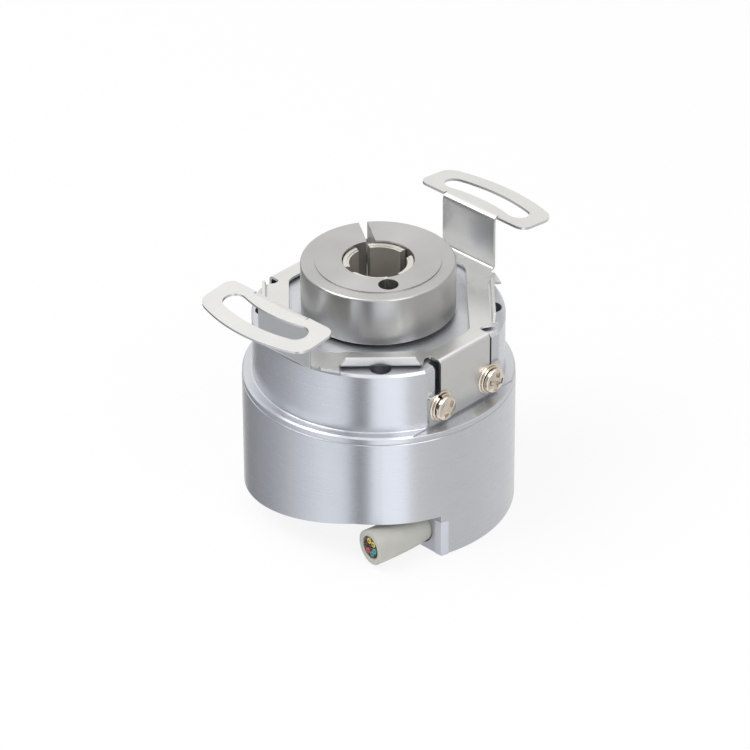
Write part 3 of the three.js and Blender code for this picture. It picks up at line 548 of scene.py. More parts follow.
def sheet_metal(name, colour, roughness):
    """Rolled sheet: a fine grain along one direction."""
    look = Look(name, 1.0)
    grain = look.noise(look.place((1, 0.03, 1)), 7000, 3.0)
    look.drift(look.noise(look.place(), 180, 3.0), colour, 0.025)
    look.gloss(grain, roughness, 0.9, 1.1)
    look.bump(grain, 0.06)
    return look.material


def bright_metal(name, colour, roughness):
    """Plated or ground metal with faint clouding and handling marks."""
    look = Look(name, 1.0)
    cloud = look.noise(look.place(), 900, 3.0)
    look.drift(cloud, colour, 0.05)
    look.gloss(cloud, roughness, 0.75, 1.35)
    look.bump(look.noise(look.place(), 5200), 0.04)
    return look.material


def moulded(name, colour, roughness, grain_scale=3500, bump=0.15, drift=0.06):
    """Plastic or rubber with a fine moulded grain."""
    look = Look(name)
    grain = look.noise(look.place(), grain_scale)
    look.drift(look.noise(look.place(), 400), colour, drift)
    look.gloss(grain, roughness, 0.9, 1.1)
    look.bump(grain, bump, MOULD_RELIEF)
    return look.material


def clear_material(name):
    look = Look(name)
    cloud = look.noise(look.place(), 500)
    look.drift(cloud, (0.82, 0.88, 0.9), 0.02)
    look.feed(look.shader, {"Roughness": look.spread(cloud, 0.04, 0.09),
                            "Transmission Weight": 0.9, "IOR": 1.5})
    return look.material


LOOKS = {
    "anodised_housing": turned_metal("anodised_aluminium", (0.605, 0.622, 0.655), 0.28, 0.88,
                                     bump=0.008, drift=0.012, metallic=0.85),
    "spring_sheet": sheet_metal("spring_sheet_steel", (0.66, 0.66, 0.65), 0.3),
    "turned_steel": turned_metal("turned_steel", (0.46, 0.458, 0.452), 0.31, 0.78,
                                 line_scale=7000, bump=0.04),
    # The nickel's warm brown tint is partly the metal's own hue and partly a painted reflection of a brown
    # table.
    "nickel_hardware": bright_metal("nickel_with_painted_warm_reflection", (0.74, 0.675, 0.59), 0.11),
    "bearing_steel": bright_metal("ground_bearing_steel", (0.66, 0.67, 0.68), 0.16),
    "brass_turned": turned_metal("turned_brass", (0.70, 0.50, 0.22), 0.3, 0.6),
    "clear_disc": clear_material("clear_glass"),
    "board_green": moulded("solder_mask", (0.03, 0.16, 0.07), 0.4, 2500, 0.1),
    "dark_plastic": moulded("dark_moulding", (0.02, 0.02, 0.022), 0.45),
    "black_rubber": moulded("black_rubber", (0.022, 0.022, 0.024), 0.7, 4200, 0.3),
    "cable_jacket": moulded("cable_sheath", (0.52, 0.52, 0.475), 0.5, 2600, 0.2, 0.04),
    "tinned_strand": bright_metal("tinned_strand", (0.36, 0.34, 0.32), 0.35),
    "core_yellow": moulded("core_insulation_yellow", (0.75, 0.60, 0.11), 0.4),
    "core_teal": moulded("core_insulation_teal", (0.07, 0.36, 0.35), 0.4),
    "core_black": moulded("core_insulation_black", (0.03, 0.03, 0.032), 0.4),
    "core_red": moulded("core_insulation_red", (0.55, 0.11, 0.14), 0.4),
    "connector_white": moulded("white_moulding", (0.78, 0.76, 0.68), 0.45),
}
COPPER = bright_metal("bare_copper", (0.72, 0.36, 0.24), 0.35)
# The shaft steel's warm tint is partly the metal's own hue and partly a painted reflection of a brown table.
SHAFT_LOOK = turned_metal("ground_shaft_steel_painted_warm_reflection", (0.66, 0.63, 0.585), 0.3, 0.6,
                          line_scale=7000, bump=0.03, drift=0.02, metallic=0.8)
# The corner strip's pale bluish colour is a painted highlight where the upright corner beside the cable
# catches the light.
CORNER_HIGHLIGHT_LOOK = moulded("corner_painted_highlight", (0.66, 0.675, 0.74), 0.45, 3000, 0.05, 0.02)

SLOTS = {part["node"]: part["material_slot"] for part in frame["record"]["subparts"]}
BODIES = {node: body for body, nodes in frame["record"]["behaviour"]["bodies"].items() for node in nodes}


def piece(obj, name, node, material=None):
    """A finished piece that stands for one CAD node, on that node's body and with its slot."""
    slot = SLOTS[node]
    finish_piece(obj, name, [node], BODIES[node], material or LOOKS[slot])


def dress_cad_nodes():
    """Gives every CAD node the finish of its slot."""
    for name, obj in frame["nodes"].items():
        obj.data.materials.clear()
        obj.data.materials.append(LOOKS[SLOTS[name]])


# ---- Housing ----

cover_high = box_mm("rear_cover")[1]
COVER_R = cover_high.x
COVER_TOP = cover_high.z
flange_low, flange_high = box_mm("flange_body")
BODY_TOP = flange_high.z
SPIGOT_Z = flange_low.z
BAND_Z = COVER_TOP + FIT
BAND_TOP = BAND_Z + BAND_HEIGHT
SHELF_Z = BAND_TOP - FLAT_DROP
SPAN = COVER_R + 2  # half the width of a tool that crosses the whole housing


def relief_tool(skin):
    slope = (RELIEF_HIGH - RELIEF_LOW) / (RELIEF_HIGH_X - RELIEF_LOW_X)
    far = RELIEF_HIGH - slope * (RELIEF_HIGH_X + SPAN) + skin
    roof = [(-SPAN, -PAST), (SPAN, -PAST), (SPAN, RELIEF_HIGH + skin), (RELIEF_HIGH_X, RELIEF_HIGH + skin),
            (-SPAN, far)]
    return prism_y(roof, -SPAN, RELIEF_WALL_Y + skin)


def build_corner_strip():
    """The lighter strip that wraps the upright corner beside the cable: its pale colour is a painted
    highlight of the lit corner.
    """
    outer_r = COVER_R + CORNER_STRIP_PROUD
    front = RELIEF_WALL_Y - CORNER_STRIP_PROUD
    corner = degrees(asin(front / outer_r))
    end = corner + degrees(CORNER_STRIP / COVER_R)
    corner_x = COVER_R * cos(rad(corner))
    wall_x = corner_x - CORNER_STRIP
    outline = [
        (wall_x, RELIEF_WALL_Y), (wall_x, front),
        *arc((0, 0), outer_r, corner, end), *arc((0, 0), COVER_R - 0.1, end, corner + 0.9),
        (corner_x - 0.3, RELIEF_WALL_Y + 0.05),
    ]
    strip = prism(outline, 0.02, CORNER_STRIP_TOP)
    settle(strip, 0.02)
    finish_piece(strip, "corner_strip", [], "housing", CORNER_HIGHLIGHT_LOOK)


def at_post(angle):
    return turn(angle) @ move(POST_PITCH, 0, 0)


# Places of lathe and rod tools: the cable's way through the cover's wall, into the housing and out of it.
CABLE_IN = move(CABLE_X, RELIEF_WALL_Y, CABLE_Z) @ turn(-90, "X")
CABLE_OUT = move(CABLE_X, RELIEF_WALL_Y, CABLE_Z) @ turn(90, "X")


def build_rear_cover():
    edge, hole_edge = 0.12, 0.3
    shell = lathe([
        (REAR_HOLE_R + hole_edge, 0), (COVER_R - edge, 0), (COVER_R, edge), (COVER_R, COVER_TOP - edge),
        (COVER_R - edge, COVER_TOP), (REAR_HOLE_R, COVER_TOP), (REAR_HOLE_R, hole_edge),
    ])
    cavity = rod(COVER_R - COVER_WALL, COVER_FLOOR, COVER_TOP + PAST, steps=ROUND)
    cut(cavity, relief_tool(RELIEF_SKIN))
    hole = rod(CABLE_R + 0.12, -3, PAST, CABLE_OUT)
    seat = rod(CABLE_R + 0.4, 0.35, 3, CABLE_IN)
    trough = rod(CABLE_R + 0.15, 0, 6, CABLE_IN)
    tools = [relief_tool(0), cavity, hole, seat, trough]
    head, stud = COVER_HEAD_R + SCREW_GAP, COVER_STUD_R + SCREW_GAP
    for angle in POST_ANGLES:
        sink = [(0, -PAST), (head, -PAST), (head, 0.1), (stud, COVER_HEAD_H + SCREW_GAP), (stud, 3), (0, 3)]
        tools.append(lathe(sink, SMALL, at_post(angle)))
    cut(shell, *tools)
    cable_plane = ((CABLE_X, 0, 0), (1, 0, 0))
    settle(shell, 0.06, cuts=[*(plane_at(angle) for angle in POST_ANGLES), cable_plane])
    piece(shell, "rear_cover_shell", "rear_cover")


# Planes through the lips and through the plate screws, for settle.
PLATE_CUTS = [plane_at(45), plane_at(135), *(((0, y, 0), (0, 1, 0)) for y in (-SCREW_Y, SCREW_Y))]
PLATE_SEATS = [(side, y) for side in (1, -1) for y in (-SCREW_Y, SCREW_Y)]


def plate_seat(side, y, out, spin=0):
    """The place of a fastener that lies out from the ears, turned about its own axis."""
    return move(side * (FLAT_X + SHEET + out), y, SCREW_Z) @ turn(side * 90, "Y") @ turn(spin)


def flat_tools(side):
    """What makes a leg's side: the flat, the pocket behind the ears and the bevel on top."""
    near, far = sorted((side * FLAT_X, side * SPAN))
    flat = block(near, far, -SPAN, SPAN, SHELF_Z, BODY_TOP + PAST)
    back = side * (FLAT_X - POCKET_DEPTH)
    inner, outer = sorted((back, side * (FLAT_X + PAST)))
    corners = [(inner, -POCKET_HALF), (outer, -POCKET_HALF), (outer, POCKET_HALF), (inner, POCKET_HALF)]
    radii = [0.5 if x == back else 0 for x, _ in corners]
    pocket = prism(rounded(corners, radii), BODY_TOP - POCKET_HEIGHT, BODY_TOP + PAST)
    rim = BODY_RIM + 0.1
    bevel = [(FLAT_X - rim, BODY_TOP + 0.01), (FLAT_X + PAST, BODY_TOP + 0.01),
             (FLAT_X + PAST, BODY_TOP - rim - PAST), (FLAT_X, BODY_TOP - rim)]
    return [flat, pocket, prism_y(bevel, -SPAN, SPAN, turn(0 if side > 0 else 180))]


def build_flange_body():
    seal_r, collar_r = COLLAR_R + SEAL_WIDTH, COLLAR_R + 0.3
    inner, ledge = BEARING_R + FIT, COLLAR_Z + FIT
    band_r = COVER_R - BAND_INSET
    fillet = (BODY_R + BAND_FILLET, BAND_TOP + BAND_FILLET)
    body = lathe([
        (inner, SPIGOT_Z), (SPIGOT_R - SPIGOT_BEVEL, SPIGOT_Z), (SPIGOT_R, SPIGOT_Z + SPIGOT_BEVEL),
        (SPIGOT_R, BAND_Z), (band_r, BAND_Z), (band_r, BAND_TOP - BAND_BEVEL),
        (band_r - BAND_BEVEL, BAND_TOP), *arc(fillet, BAND_FILLET, 270, 180),
        (BODY_R, BODY_TOP - BODY_RIM), (BODY_R - BODY_RIM, BODY_TOP),
        (seal_r, BODY_TOP), (seal_r, BODY_TOP - SEAL_SUNK), (collar_r, BODY_TOP - SEAL_SUNK),
        (collar_r, ledge), (inner, ledge),
    ])
    tools = [*flat_tools(1), *flat_tools(-1)]
    for angle in DIAGONALS:
        place = turn(angle) @ move(FACE_HOLE_PITCH, 0, 0)
        tools.append(rod(FACE_HOLE_R, BODY_TOP - FACE_HOLE_DEPTH, BODY_TOP + PAST, place))
    for seat in PLATE_SEATS:
        tools.append(rod(SCREW_R + SCREW_GAP, -SCREW_DEPTH, PAST, plate_seat(*seat, -SHEET)))
    cut(body, *tools)
    settle(body, 0.05, cuts=PLATE_CUTS)
    piece(body, "flange_body_casting", "flange_body")


def build_shaft_seal():
    low, high = box_mm("shaft_seal")
    lip, edge = COLLAR_R + 0.06, 0.15
    lip_sunk = high.z - 0.2
    seal = lathe([
        (lip, (low.z + high.z) / 2), (lip + 0.4, low.z),
        *arc((high.x - edge, low.z + edge), edge, -90, 0), *arc((high.x - edge, high.z - edge), edge, 0, 90),
        (lip + 0.9, high.z), (lip + 0.75, lip_sunk), (lip + 0.5, lip_sunk), (lip + 0.3, high.z),
    ])
    piece(settle(seal, 0), "shaft_seal_ring", "shaft_seal")


# ---- Spring plate ----

PLATE_Z = BODY_TOP + PLATE_LIFT
PLATE_TOP = PLATE_Z + SHEET


def bent_strip(start, steps):
    """The edge outline of the sheet as it leaves the plate level and follows runs and bends."""
    left, right = [], []
    x, y, angle = start, PLATE_Z + SHEET / 2, 0.0

    def mark():
        side = (-sin(angle) * SHEET / 2, cos(angle) * SHEET / 2)
        left.append((x + side[0], y + side[1]))
        right.append((x - side[0], y - side[1]))

    mark()
    for kind, value, radius in steps:
        if kind == "run":
            x += cos(angle) * value
            y += sin(angle) * value
            mark()
            continue
        side = copysign(1, value)
        cx, cy = x - side * sin(angle) * radius, y + side * cos(angle) * radius
        slices = max(2, ceil(abs(value) / ARC_STEP))
        first = angle
        for i in range(1, slices + 1):
            angle = first + rad(value) * i / slices
            x, y = cx + side * sin(angle) * radius, cy - side * cos(angle) * radius
            mark()
    return left + right[::-1]


def four_way(quarter):
    """One quarter of an outline repeated by mirroring in X and Y."""
    return [
        *quarter, *[(-x, y) for x, y in quarter[::-1]],
        *[(-x, -y) for x, y in quarter], *[(x, -y) for x, y in quarter[::-1]],
    ]


def plate_middle():
    leg_root, arm_root = FLAT_X - LEG_BEND, ARM_Y - ARM_BEND
    notch = leg_root - NOTCH_DEPTH
    half = LIP_HALF + PLATE_SLIT
    far, near = [(LIP_DISTANCE + side * half) / sqrt(2) for side in (1, -1)]
    root = LIP_DISTANCE - LIP_BEND - SHEET / 2
    far_root, near_root = [(root + side * half) / sqrt(2) for side in (1, -1)]
    quarter = [
        # the notch beside the leg, the lip's straight edge, and the notch beside the arm
        (leg_root, LEG_HALF), (notch + 0.25, LEG_HALF + 0.05), (notch, LEG_HALF + 0.35),
        (notch, LEG_HALF + 1.0), (far + 0.1, near + 0.1), (far_root, near_root),
        (near_root, far_root), (near + 0.9, far + 0.9), (ARM_HALF + 1.0, arm_root - 0.45),
        (ARM_HALF + 0.75, arm_root - 0.66), (ARM_HALF + 0.3, arm_root - 0.7), (ARM_HALF, arm_root),
    ]
    sheet = prism(four_way(quarter), PLATE_Z, PLATE_TOP)
    total = OPENING_DIAGONAL * sqrt(2)
    corners = four_way([(OPENING_LEG_X, total - OPENING_LEG_X), (total - OPENING_ARM_Y, OPENING_ARM_Y)])
    opening = rounded(corners, [OPENING_CORNER] * len(corners))
    return cut(sheet, prism(opening, PLATE_Z - PAST, PLATE_TOP + PAST))


def plate_lip(angle):
    overlap = 0.6
    back = LIP_BEND + SHEET / 2 + overlap
    outline = bent_strip(-back, [
        ("run", overlap, 0), ("turn", 90 - LIP_LEAN, LIP_BEND), ("run", LIP_HEIGHT, 0)])
    place = turn(angle) @ move(LIP_DISTANCE, 0, 0)
    strip = prism_y(outline, -LIP_HALF, LIP_HALF, place)
    top = PLATE_TOP + LIP_HEIGHT + PAST
    tools = []
    for side in (-1, 1):
        end, beyond = side * LIP_HALF, side * (LIP_HALF + PAST)
        wedge = [(end, PLATE_TOP), (side * (LIP_HALF - LIP_TAPER), top), (beyond, top), (beyond, PLATE_TOP)]
        tools.append(prism_x(wedge, -3, 3, place))
    return cut(strip, *tools)


def plate_leg(side):
    radius = LEG_BEND + SHEET / 2
    middle = FLAT_X + SHEET / 2
    bottom = box_mm("spring_plate")[0].z
    start = OPENING_LEG_X + 0.6
    drop = PLATE_Z + SHEET / 2 - radius - bottom - EAR_HEIGHT / 2
    place = turn(0 if side > 0 else 180)
    outline = bent_strip(start, [
        ("run", middle - radius - start, 0), ("turn", -90, radius), ("run", drop, 0)])
    neck = prism_y(outline, -LEG_HALF, LEG_HALF, place)
    half, top = sqrt(BODY_R ** 2 - FLAT_X ** 2), bottom + EAR_HEIGHT
    ears = rounded([(-half, bottom), (half, bottom), (half, top), (-half, top)], [0.7, 0.7, 0.4, 0.4])
    holes = [rod(SCREW_R + SCREW_GAP, -PAST, 2, place @ plate_seat(1, y, -SHEET))
             for y in (-SCREW_Y, SCREW_Y)]
    return cut(join(neck, prism_x(ears, FLAT_X, FLAT_X + SHEET, place)), *holes)


def tab_outline():
    in_x, in_y = TAB_HALF - TAB_INNER_CORNER, ARM_Y + TAB_INNER_GAP + TAB_INNER_CORNER
    out_x = TAB_HALF - TAB_OUTER_CORNER
    out_y = sqrt((TAB_OUTER_R - TAB_OUTER_CORNER) ** 2 - out_x ** 2)
    off = degrees(atan2(out_y, out_x))
    return [
        *arc((in_x, in_y), TAB_INNER_CORNER, -90, 0, 10),
        *arc((out_x, out_y), TAB_OUTER_CORNER, 0, off, 12),
        *arc((0, 0), TAB_OUTER_R, off, 180 - off, 40)[1:-1],
        *arc((-out_x, out_y), TAB_OUTER_CORNER, 180 - off, 180, 12),
        *arc((-in_x, in_y), TAB_INNER_CORNER, 180, 270, 10),
    ]


def slot_outline():
    half = SLOT_HALF_ANGLE
    cap_x, cap_y = SLOT_PITCH * sin(rad(half)), SLOT_PITCH * cos(rad(half))
    return [
        *arc((0, 0), SLOT_PITCH + SLOT_WIDTH / 2, 90 - half, 90 + half, 24),
        *arc((-cap_x, cap_y), SLOT_WIDTH / 2, 90 + half, 270 + half, 16)[1:],
        *arc((0, 0), SLOT_PITCH - SLOT_WIDTH / 2, 90 + half, 90 - half, 24)[1:],
        *arc((cap_x, cap_y), SLOT_WIDTH / 2, -90 - half, 90 - half, 16)[1:-1],
    ]


def plate_arm(side):
    foot, crown = ARM_BEND + SHEET / 2, TAB_BEND + SHEET / 2
    middle = ARM_Y + SHEET / 2
    start = OPENING_ARM_Y + 0.5
    outer, droop = TAB_BEND + SHEET, rad(TAB_DROOP)
    top_y = middle + crown + outer * sin(droop)
    top_z = TAB_HEIGHT - tan(droop) * (top_y - ARM_Y)
    rise = top_z - outer * cos(droop) - (PLATE_Z + SHEET / 2 + foot)
    place = turn(0 if side > 0 else 180)
    outline = bent_strip(start, [
        ("run", middle - foot - start, 0), ("turn", 90, foot), ("run", rise, 0),
        ("turn", -90 - TAB_DROOP, crown), ("run", 0.5, 0)])
    strip = prism_x(outline, -ARM_HALF, ARM_HALF, place)
    tilt = place @ move(0, ARM_Y, TAB_HEIGHT) @ turn(-TAB_DROOP, "X") @ move(0, -ARM_Y, 0)
    tab = prism(tab_outline(), -SHEET, 0, tilt)
    slot = prism(slot_outline(), -2, 2, tilt)
    room = block(-ARM_HALF - PLATE_SLIT, ARM_HALF + PLATE_SLIT, 0, top_y + 0.05, -2, 2, tilt)
    return join(strip, cut(tab, slot, room))


def build_spring_plate():
    plate = plate_middle()
    parts = [plate_lip(angle) for angle in DIAGONALS]
    join(plate, *parts, plate_leg(1), plate_leg(-1), plate_arm(1), plate_arm(-1))
    settle(plate, 0.04, cuts=PLATE_CUTS)
    piece(plate, "spring_plate_sheet", "spring_plate")


# ---- Fasteners ----

def cross_recess(head_r, top, depth):
    """A tapered cross with a pointed middle, as a driver leaves room for."""
    reach, wing = 0.74 * head_r, 0.23 * head_r
    above, step, floor = top + 0.5, top - 0.5, top - depth
    outline = [(-reach, above), (-reach, step), (-reach * 0.45, floor), (reach * 0.45, floor),
               (reach, step), (reach, above)]
    cone = [(0, floor - 0.1), (0.2 * head_r, floor), (0.5 * head_r, above), (0, above)]
    bars = [prism_y(outline, -wing, wing, turn(angle)) for angle in (20, 110)]
    return join(*bars, lathe(cone, SMALL))


def pan_head_screw(place):
    """A pan-head screw with its seat at zero: domed head, rounded rim and plain stem."""
    rim, slices, stem = 0.45, 9, 4.2
    profile = [(0, -stem), (SCREW_R - 0.3, -stem), (SCREW_R, 0.3 - stem), (SCREW_R, 0),
               (HEAD_R - 0.05, 0), (HEAD_R, 0.05), *arc((HEAD_R - rim, 0.2), rim, 0, 55)]
    dome_r, dome_z = profile[-1]
    for k in range(1, slices + 1):
        share = k / slices
        profile.append((dome_r * (1 - share), dome_z + (HEAD_H - dome_z) * sin(share * pi / 2)))
    screw = lathe(profile, SMALL)
    cut(screw, cross_recess(HEAD_R, HEAD_H, 0.75))
    return placed(settle(screw, 0.025, 20), place)


def washer_section(outer, height, edge):
    bore = SCREW_R + SCREW_GAP
    return [(bore, edge), (bore + edge, 0), (outer - edge, 0), (outer, edge), (outer, height - edge),
            (outer - edge, height), (bore + edge, height), (bore, height - edge)]


def flat_washer(place):
    return placed(settle(lathe(washer_section(WASHER_R, WASHER_H, 0.07), SMALL), 0), place)


def spring_washer(place):
    """A split spring washer: nearly one turn of square wire, its ends a little apart."""
    bm = bmesh.new()
    steps, gap, climb = 56, 12, 0.09
    section = washer_section(SPRING_R, SPRING_H - 0.1, 0.06)
    rings = []
    for i in range(steps + 1):
        angle = rad(gap / 2 + (360 - gap) * i / steps)
        rise = climb * i / steps
        rings.append([bm.verts.new((r * cos(angle), r * sin(angle), z + rise)) for r, z in section])
    skin(bm, rings)
    bm.faces.new(rings[0])
    bm.faces.new(rings[-1][::-1])
    return placed(settle(new_object("spring_washer", bm), 0), place)


def build_plate_fasteners():
    for i, (seat, spin) in enumerate(zip(PLATE_SEATS, SCREW_SPINS), 1):
        washer, spring = plate_seat(*seat, 0), plate_seat(*seat, WASHER_H, spin)
        piece(flat_washer(washer), f"flat_washer_{i}", f"plate_washer_{i}")
        piece(spring_washer(spring), f"split_washer_{i}", f"plate_spring_washer_{i}")
        screw = plate_seat(*seat, WASHER_H + SPRING_H, 28 * i)
        piece(pan_head_screw(screw), f"pan_screw_{i}", f"plate_screw_{i}")


def build_cover_screws():
    for i, angle in enumerate(POST_ANGLES, 1):
        low, high = box_mm(f"cover_screw_{i}")
        screw = lathe([
            (0, low.z), (COVER_HEAD_R - 0.05, low.z), (COVER_HEAD_R, low.z + 0.05),
            (COVER_STUD_R, COVER_HEAD_H), (COVER_STUD_R, high.z - 0.2), (COVER_STUD_R - 0.2, high.z),
            (0, high.z),
        ], SMALL)
        cut(screw, placed(cross_recess(COVER_HEAD_R, 0, 0.7), move(0, 0, low.z) @ turn(180, "X")))
        placed(settle(screw, 0.03), at_post(angle) @ turn(17 * i))
        piece(screw, f"countersunk_screw_{i}", f"cover_screw_{i}")


# ---- Shaft and clamp ring ----

shaft_low, shaft_high = box_mm("hollow_shaft")
ring_low, ring_high = box_mm("clamp_ring")
RING_R = ring_high.x
RING_TOP = ring_high.z
RING_Z = ring_low.z


def build_hollow_shaft():
    top, low = shaft_high.z, shaft_low.z
    seat, edge, step = RING_Z - FIT, 0.3, 0.15
    shaft = lathe([
        (BORE_R, low + edge), (BORE_R + edge, low), (SEAT_R - edge, low), (SEAT_R, low + edge),
        (SEAT_R, COLLAR_Z), (COLLAR_R, COLLAR_Z), (COLLAR_R, seat), (COLLET_R, seat),
        (COLLET_R, top), (BORE_R + edge, top), (BORE_R + edge, top - step), (BORE_R, top - step),
    ])
    half = COLLET_SLOT / 2
    cut(shaft, *(block(BORE_R / 2, COLLET_R + PAST, -half, half, top - COLLET_DEPTH, top + PAST,
                       turn(COLLET_ANGLE + 90 * i)) for i in range(4)))
    piece(settle(shaft, 0.035), "hollow_shaft_turned", "hollow_shaft", SHAFT_LOOK)


CLAMP_AXIS = turn(SPLIT_ANGLE) @ move(CLAMP_PITCH, 0, CLAMP_Z) @ turn(-90, "X")


def build_clamp_ring():
    rim, edge, foot = RING_TOP - RING_STEP, RING_EDGE, 0.2
    ring = lathe([
        (RING_BORE, RING_Z), *arc((RING_R - foot, RING_Z + foot), foot, -90, 0),
        *arc((RING_R - edge, rim - edge), edge, 0, 90),
        (RING_STEP_R, rim), (RING_STEP_R, RING_TOP), (RING_BORE, RING_TOP),
    ])
    low, high = RING_Z - PAST, RING_TOP + PAST
    place = turn(SPLIT_ANGLE)
    cut(
        ring,
        block(0, RING_R + PAST, -SPLIT_WIDTH / 2, SPLIT_WIDTH / 2, low, high, place),
        block(-HINGE_PITCH, 0, -HINGE_SLIT / 2, HINGE_SLIT / 2, low, high, place),
        rod(HINGE_R, low, high, place @ move(-HINGE_PITCH, 0, 0)),
        rod(CLAMP_STUD_R + SCREW_GAP, -CLAMP_REACH - 0.5, RING_R, CLAMP_AXIS),
        rod(CLAMP_HEAD_R + SCREW_GAP, CLAMP_HEAD_OFFSET - FIT, RING_R, CLAMP_AXIS),
    )
    piece(settle(ring, 0.05), "clamp_ring_turned", "clamp_ring")


def build_clamp_screw():
    """A socket-head screw whose thread is a row of sharp rings."""
    top, root, edge = CLAMP_HEAD_OFFSET + CLAMP_HEAD_H, 1.0, 0.2
    profile = [(0, -CLAMP_REACH), (root - 0.05, -CLAMP_REACH)]
    for i in range(13):
        low = -CLAMP_REACH + 0.3 + i * 0.45
        profile += [(root, low), (CLAMP_STUD_R, low + 0.2), (CLAMP_STUD_R, low + 0.25)]
    profile += [(root, CLAMP_HEAD_OFFSET), (CLAMP_HEAD_R, CLAMP_HEAD_OFFSET),
                *arc((CLAMP_HEAD_R - edge, top - edge), edge, 0, 90), (0, top)]
    screw = lathe(profile, SMALL)
    cut(screw, prism(circle(1.15, 6), top - 1.05, top + PAST))
    piece(placed(settle(screw, 0.03, 50), CLAMP_AXIS), "socket_head_screw", "clamp_screw")


# ---- Cable ----

jacket_low, jacket_high = box_mm("cable_jacket")
CABLE_END_Y = jacket_low.y
CABLE_IN_Y = jacket_high.y


def cable_point(y, across, upward):
    """A point beside the cable's middle line; towards the end it follows the slanted cut."""
    start = RELIEF_WALL_Y - 1.2
    t = max(0.0, (start - y) / (start - CABLE_END_Y))
    middle = Vector((CABLE_X + CABLE_END_SHIFT * t * t, y, CABLE_Z))
    share = max(0.0, 1 - (y - CABLE_END_Y) / CABLE_CUT_DEPTH)
    return Vector((middle.x + across, y - CABLE_CUT_SLANT * across * share, middle.z + upward))


def tube_along(stations, sides, dx=0.0, dz=0.0):
    """A closed surface through rings round the cable's line: each station is (y, radius)."""
    bm = bmesh.new()
    angles = [2 * pi * i / sides for i in range(sides)]
    rings = [[bm.verts.new(cable_point(y, dx + radius * cos(a), dz + radius * sin(a)))
              for a in angles] for y, radius in stations]
    skin(bm, rings, loop=True)
    return settle(new_object("tube", bm), 0)


def build_cable_jacket():
    """The sheath, with softly rounded cut edges, open right through."""
    bore, end, count = CABLE_R - CABLE_WALL, CABLE_END_Y, 16
    ys = [end + (CABLE_IN_Y - end) * i / count for i in range(count + 1)]
    jacket = tube_along([
        (end, CABLE_R - 0.12), (end + 0.04, CABLE_R - 0.035), (end + 0.12, CABLE_R),
        *((y, CABLE_R) for y in ys[1:]), *((y, bore) for y in ys[:0:-1]),
        (end + 0.08, bore), (end, bore + 0.08),
    ], 64)
    piece(jacket, "cable_sheath", "cable_jacket")


def strand(points, radius, sides):
    """A fine wire through points, with closed ends."""
    bm = bmesh.new()
    angles = [2 * pi * k / sides for k in range(sides)]
    rings = []
    for i, here in enumerate(points):
        along = (points[min(len(points) - 1, i + 1)] - points[max(0, i - 1)]).normalized()
        side = along.cross(Vector((0, 0, 1))).normalized()
        over = side.cross(along)
        rings.append([bm.verts.new(here + (side * cos(a) + over * sin(a)) * radius)
                      for a in angles])
    skin(bm, rings)
    bm.faces.new(rings[0])
    bm.faces.new(rings[-1][::-1])
    return new_object("strand", bm)


def merged(objects):
    """Several objects as one mesh, without joining their surfaces."""
    bm = bmesh.new()
    for obj in objects:
        bm.from_mesh(obj.data)
        bpy.data.objects.remove(obj)
    return settle(new_object("merged", bm), 0)


CORE_ANGLES = {"yellow_1": 112, "yellow_2": 52, "teal_1": -8, "teal_2": -68, "black": 172, "red": 232}


def core_centre(angle):
    return CORE_PITCH * cos(rad(angle)), CORE_PITCH * sin(rad(angle))


def filler_strands():
    """Loose strands that fill the room between the cores, cut a little short."""
    pitch, inside = 0.17, 1.42
    reach = int(inside / pitch)
    centres = [core_centre(angle) for angle in CORE_ANGLES.values()]
    wires = []
    for i in range(-reach, reach + 1):
        for j in range(-reach, reach + 1):
            across, upward = pitch * (i + 0.5 * (j % 2)), pitch * j
            clear = min(hypot(across - x, upward - z) for x, z in centres)
            if clear < CORE_R + 0.07 or hypot(across, upward) > inside:
                continue
            first = CABLE_END_Y + 0.16 + 0.09 * sin(5.1 * i + 2.3 * j)
            points = [cable_point(y, across, upward) for y in (first, first + 0.8, first + 1.6)]
            wires.append(strand(points, 0.07, 6))
    return wires


def build_cable_shield():
    """A braid of fine wires that lies inside the sheath, its cut ends a little uneven."""
    bore, count, steps = CABLE_R - CABLE_WALL, 26, 8
    wires = []
    for hand, radius in ((1, bore - 0.07), (-1, bore - 0.17)):
        for i in range(count):
            start = 2 * pi * (i + 0.5 * (hand < 0)) / count
            uneven = 0.1 * sin(7.3 * i + hand)
            points = []
            for k in range(steps + 1):
                y = CABLE_END_Y + 0.06 + uneven * (k == 0) * 0.4 + (2.6 * k / steps)
                angle = start + hand * 0.9 * k / steps
                points.append(cable_point(y, radius * cos(angle), radius * sin(angle)))
            wires.append(strand(points, 0.05, 5))
    piece(merged(wires + filler_strands()), "cable_braid", "cable_shield")


def build_cores():
    """Each core's insulation, open along its middle, and the seven wires of its conductor."""
    for index, (name, angle) in enumerate(CORE_ANGLES.items()):
        dx, dz = core_centre(angle)
        high_y = box_mm(f"cable_core_{name}")[1].y
        end = CABLE_END_Y + 0.05 + 0.05 * sin(2.1 * index)
        ahead = [(end + (high_y - end) * k / 8, CORE_R) for k in range(1, 9)]
        back = [(high_y - (high_y - end) * k / 8, CONDUCTOR_R) for k in range(8)]
        start = [(end, CONDUCTOR_R), (end, CORE_R - 0.05), (end + 0.05, CORE_R)]
        piece(tube_along([*start, *ahead, *back], 20, dx, dz), f"core_{name}", f"cable_core_{name}")
        wires = []
        for k in range(7):
            offset, turned = (0.0 if k == 6 else 0.125), 2 * pi * k / 6
            across, upward = dx + offset * cos(turned), dz + offset * sin(turned)
            first = end - 0.03 + 0.03 * sin(3.1 * k + index)
            wires.append(strand([cable_point(y, across, upward) for y in (first, end + 1.5, end + 3.0)],
                                0.058, 8))
        finish_piece(merged(wires), f"conductor_{name}", [], "housing", COPPER)


